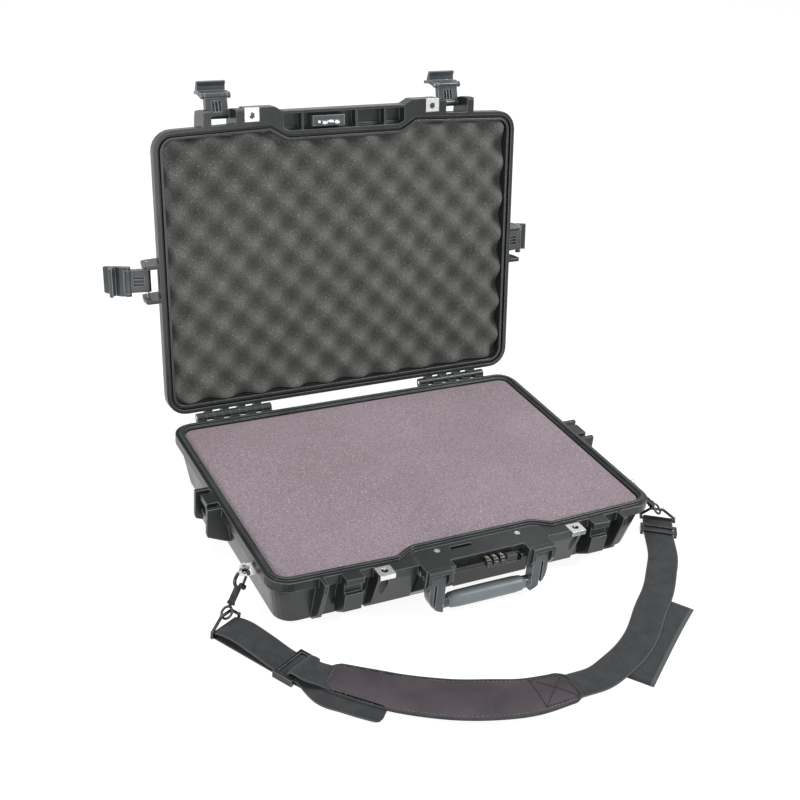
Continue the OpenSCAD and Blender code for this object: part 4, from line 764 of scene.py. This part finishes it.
def shoulder_pad():
    """A stuffed cloth pad: crowned across, thin at the bound edge, with rounded ends."""
    across = [math.sin(math.pi / 2 * n / 9) for n in range(-9, 10)]
    points = []
    reach = distances_along([station.xy for station in pad_plan])
    for k, place in enumerate(pad_plan):
        end = min(reach[k], reach[-1] - reach[k])
        pinch = PAD_PINCH + END_PINCH * max(0.0, 1 - end / END_LENGTH) ** 2
        low_end = max(0.0, 1 - end / END_THIN)
        for face in (1, -1):
            for t in across if face == 1 else reversed(across):
                crown = math.sqrt(max(0.0, 1 - abs(t) ** 3.2))
                top = PAD_SEAM_Z + PAD_CROWN * crown * (1 - 0.75 * low_end ** 2)
                z = top if face == 1 else min(pad_floor(place.x), top - 0.8)
                flat = pad_point(k, t, pinch)
                points.append(Vector((flat.x, flat.y, max(0.05, z))))
    faces = capped_tube_faces(len(pad_plan), 2 * len(across))
    piece = mesh_piece("shoulder_pad_cloth", points, faces, PAD_CLOTH)
    swell_as_cloth(piece, lambda p: p[2] < max(RIM_Z, pad_floor(p[0] / MM) + 0.5) * MM)
    subdivided(piece)
    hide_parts("shoulder_pad")
    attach(piece, "base")
    return piece


pad_surface = BVHTree.FromObject(shoulder_pad(), bpy.context.evaluated_depsgraph_get())


def on_pad(flat, above=0.0):
    """The point of the pad's top face over a plan point, in millimetres."""
    hit = pad_surface.ray_cast(Vector((flat.x, flat.y, 60)) * MM, -UPRIGHT)[0]
    return Vector((flat.x, flat.y, (hit.z / MM if hit else 4.0) + above))


def tube(path, radius, sides, points, faces, flatten=1.0):
    """Adds a closed tube along a path to the points and faces of a mesh."""
    first = len(points)
    for k, centre in enumerate(path):
        tangent = (path[min(len(path) - 1, k + 1)] - path[max(0, k - 1)]).normalized()
        side = sideways(tangent, Vector((1, 0, 0)))
        up = side.cross(tangent) * flatten
        for n in range(sides):
            a = 2 * math.pi * n / sides
            points.append(centre + (side * math.cos(a) + up * math.sin(a)) * radius)
    faces += [tuple(first + i for i in f) for f in capped_tube_faces(len(path), sides)]


def seam(name, lines, material, stitch=3.2, gap=1.6, radius=0.45):
    """Sewn stitches along plan lines on the pad, as short sunk threads."""
    points, faces = [], []
    for line in lines:
        reach = 0.0
        for a, b in zip(line, line[1:]):
            length = (b - a).length
            while reach < length:
                p, q = a.lerp(b, reach / length), a.lerp(b, min(1.0, (reach + stitch) / length))
                tube([on_pad(p), on_pad(p.lerp(q, 0.5), 0.3), on_pad(q)], radius, 6, points, faces)
                reach += stitch + gap
            reach -= length
    piece = mesh_piece(name, points, faces, material)
    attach(piece, "base")


def pad_edge_stitches():
    """The pale line of stitches beside the binding, on both sides and across the left end."""
    sides = [[pad_point(k, t, 4.6) for k in range(1, LAST - 1)] for t in (1, -1)]
    seam("pad_edge_stitches", [sides[0][::-1] + sides[1]], PALE_THREAD)


def pad_box_stitches():
    """The sewn box with its cross that holds the right webbing."""
    near, far = LAST - 7, LAST - 1
    a, b = pad_point(near, -1, 6), pad_point(near, 1, 6)
    c, d = pad_point(far, 1, 5), pad_point(far, -1, 5)
    seam("pad_box_stitches", [[a, b, c, d, a], [a, c], [b, d]], DARK_THREAD, 2.8, 1.0, 0.5)


def pad_binding():
    """Tape sewn round the pad's edge: a flattened tube that follows the rim."""
    edge_inset, end_inset, z = 1.7, 6, 4.6
    rim = [pad_point(k, 1, edge_inset) for k in range(2, LAST - 1)]
    rim += [pad_point(LAST, t, end_inset) for t in (0.9, 0.4, 0, -0.4, -0.9)]
    rim += [pad_point(k, -1, edge_inset) for k in range(LAST - 2, 1, -1)]
    rim += [pad_point(0, t, end_inset) for t in (-0.9, -0.4, 0, 0.4, 0.9)]
    rim.append(rim[0])
    points, faces = [], []
    tube(smooth_path(at_height(rim, [z] * len(rim)), 2), 1.7, 8, points, faces, 0.9)
    piece = mesh_piece("pad_binding", points, faces, BINDING)
    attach(piece, "base")


pad_edge_stitches()
pad_box_stitches()
pad_binding()

# ---- numbers on the dials, as thin raised strokes of ink ----
DIAL_X = (-2.0, 7.3, 16.6)
DIAL_R = 6.2
DIAL_Z = 59.0
# Centre of the rings of figures, which is 0.4 mm behind the dials' axis
DIAL_Y = -208.55
# Ten figures: which of the strokes top, upper right, lower right, bottom, lower left, upper left
# and middle each has
FIGURES = ("1111110", "0110000", "1101101", "1111001", "0110011", "1011011", "1011111",
           "1110000", "1111111", "1111011")
STROKES = (((-1, 1), (1, 1)), ((1, 1), (1, 0)), ((1, 0), (1, -1)), ((-1, -1), (1, -1)),
           ((-1, 0), (-1, -1)), ((-1, 1), (-1, 0)), ((-1, 0), (1, 0)))
# Half the width and height of a figure, half a stroke's width, and how far the ink goes into the
# dial and stands above it
HALF_W, HALF_H, PEN = 0.95, 1.25, 0.3
INK_IN, INK_OUT = 0.12, 0.06
BOX_FACES = ((3, 2, 1, 0), (4, 5, 6, 7), (0, 1, 5, 4), (1, 2, 6, 5), (2, 3, 7, 6), (3, 0, 4, 7))


def dial_numbers(number):
    """Ten figures round a dial, each midway between two of its notches."""
    points, faces = [], []
    centre = Vector((DIAL_X[number], DIAL_Y, DIAL_Z))
    for figure, strokes in enumerate(FIGURES):
        turn = Matrix.Rotation(math.radians(36 * figure), 3, "X")
        for on, ((x0, y0), (x1, y1)) in zip(strokes, STROKES):
            if on == "0":
                continue
            low_x, high_x = sorted((x0 * HALF_W, x1 * HALF_W))
            low_y, high_y = sorted((y0 * HALF_H, y1 * HALF_H))
            first = len(points)
            for z in (DIAL_R - INK_IN, DIAL_R + INK_OUT):
                for x, y in ((low_x - PEN, low_y - PEN), (high_x + PEN, low_y - PEN),
                             (high_x + PEN, high_y + PEN), (low_x - PEN, high_y + PEN)):
                    points.append(turn @ Vector((x, y, z)) + centre)
            faces += [tuple(first + i for i in f) for f in BOX_FACES]
    piece = mesh_piece(f"dial_numbers_{number + 1}", points, faces, DIAL_INK, smooth=False)
    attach(piece, f"dial_{number + 1}")


for number in range(len(DIAL_X)):
    dial_numbers(number)

# ---- world, floor, light and camera ----
# The sky's strength on the object, the strength that the camera sees, and the share of the way
# between them that a reflection sees: less than the camera, so that level faces stay dark
SKY_LIGHT, SKY_SEEN, SKY_MIRRORED = 0.3, 1.05, 0.6


def studio_sky():
    """A plain white sky that lights softly."""
    world = bpy.data.worlds.new("studio")
    bpy.context.scene.world = world
    world.use_nodes = True
    tree = world.node_tree
    tree.nodes.clear()
    rays = add(tree, "LightPath")
    seen = add(tree, "Math", {"operation": "MAXIMUM"}, _0=rays.outputs["Is Camera Ray"],
               _1=rays.outputs["Is Transmission Ray"])
    mirrored = add(tree, "Math", {"operation": "MULTIPLY_ADD"}, _0=rays.outputs["Is Glossy Ray"],
                   _1=SKY_MIRRORED, _2=seen.outputs[0])
    strength = add(tree, "MapRange", Value=mirrored.outputs[0], To_Min=SKY_LIGHT, To_Max=SKY_SEEN)
    background = add(tree, "Background", Color=(1, 1, 1, 1), Strength=strength.outputs[0])
    tree.links.new(background.outputs[0], add(tree, "OutputWorld").inputs[0])


FLOOR_SIZE = 9000
FLOOR_Z = -0.2


def studio_floor():
    """White paint that mostly glows for the camera and mirrors, and so keeps a faint shadow."""
    material = bpy.data.materials.new("painted floor, white")
    material.use_nodes = True
    tree = material.node_tree
    tree.nodes.clear()
    rays = add(tree, "LightPath")
    paint = add(tree, "BsdfDiffuse", Color=linear("#f4f4f3"))
    glow = add(tree, "Emission", Color=(1, 1, 1, 1), Strength=1.25)
    seen = add(tree, "Math", {"operation": "MAXIMUM"}, _0=rays.outputs["Is Camera Ray"],
               _1=rays.outputs["Is Glossy Ray"])
    share = add(tree, "Math", {"operation": "MULTIPLY"}, _0=seen.outputs[0], _1=0.72)
    mix = add(tree, "MixShader", _0=share.outputs[0], _1=paint.outputs[0], _2=glow.outputs[0])
    tree.links.new(mix.outputs[0], add(tree, "OutputMaterial").inputs[0])
    corners = [(x * FLOOR_SIZE, y * FLOOR_SIZE, FLOOR_Z)
               for x, y in ((-1, -1), (1, -1), (1, 1), (-1, 1))]
    mesh_piece("floor", corners, [(0, 1, 2, 3)], material)


def softbox(name, place, aim, size, power):
    """A rectangular lamp at a place, aimed at a point; sizes in metres, power in watts."""
    light = bpy.data.lights.new(name, "AREA")
    light.shape = "RECTANGLE"
    light.size, light.size_y = size
    light.energy = power
    lamp = bpy.data.objects.new(name, light)
    lamp.location = place
    lamp.rotation_euler = (Vector(aim) - Vector(place)).to_track_quat("-Z", "Y").to_euler()
    bpy.context.scene.collection.objects.link(lamp)


# The camera solved from the photo's edges: place in metres, its right and up, and its lens
CAMERA_AT = (-0.6768, -1.1977, 0.8993)
CAMERA_RIGHT = Vector((0.8937, -0.4415, 0.0798))
CAMERA_UP = Vector((0.1476, 0.4573, 0.8770))
SENSOR, LENS = 36, 56.92


def photo_camera():
    """Camera at the photo's angle."""
    data = bpy.data.cameras.new("camera")
    camera = bpy.data.objects.new("camera", data)
    data.sensor_width = SENSOR
    data.lens = LENS
    data.clip_end = 50
    backward = CAMERA_RIGHT.cross(CAMERA_UP).normalized()
    upward = backward.cross(CAMERA_RIGHT).normalized()
    right = upward.cross(backward)
    camera.matrix_world = Matrix.Translation(CAMERA_AT) @ Matrix(
        (right, upward, backward)).transposed().to_4x4()
    bpy.context.scene.collection.objects.link(camera)
    bpy.context.scene.camera = camera


studio_sky()
studio_floor()
softbox("key softbox", (1.7, -1.1, 2.0), (0, 0.05, 0.2), (0.8, 0.8), 46)
softbox("left fill", (-2.0, -0.8, 1.1), (0, 0, 0.1), (1.2, 1.0), 17)
softbox("top softbox", (-0.2, 0.3, 2.3), (0, 0, 0), (1.4, 1.0), 26)
softbox("low front fill", (-0.2, -1.7, 0.35), (0, 0, 0.05), (1.4, 0.4), 7)
photo_camera()
bpy.context.scene.view_settings.view_transform = "Standard"
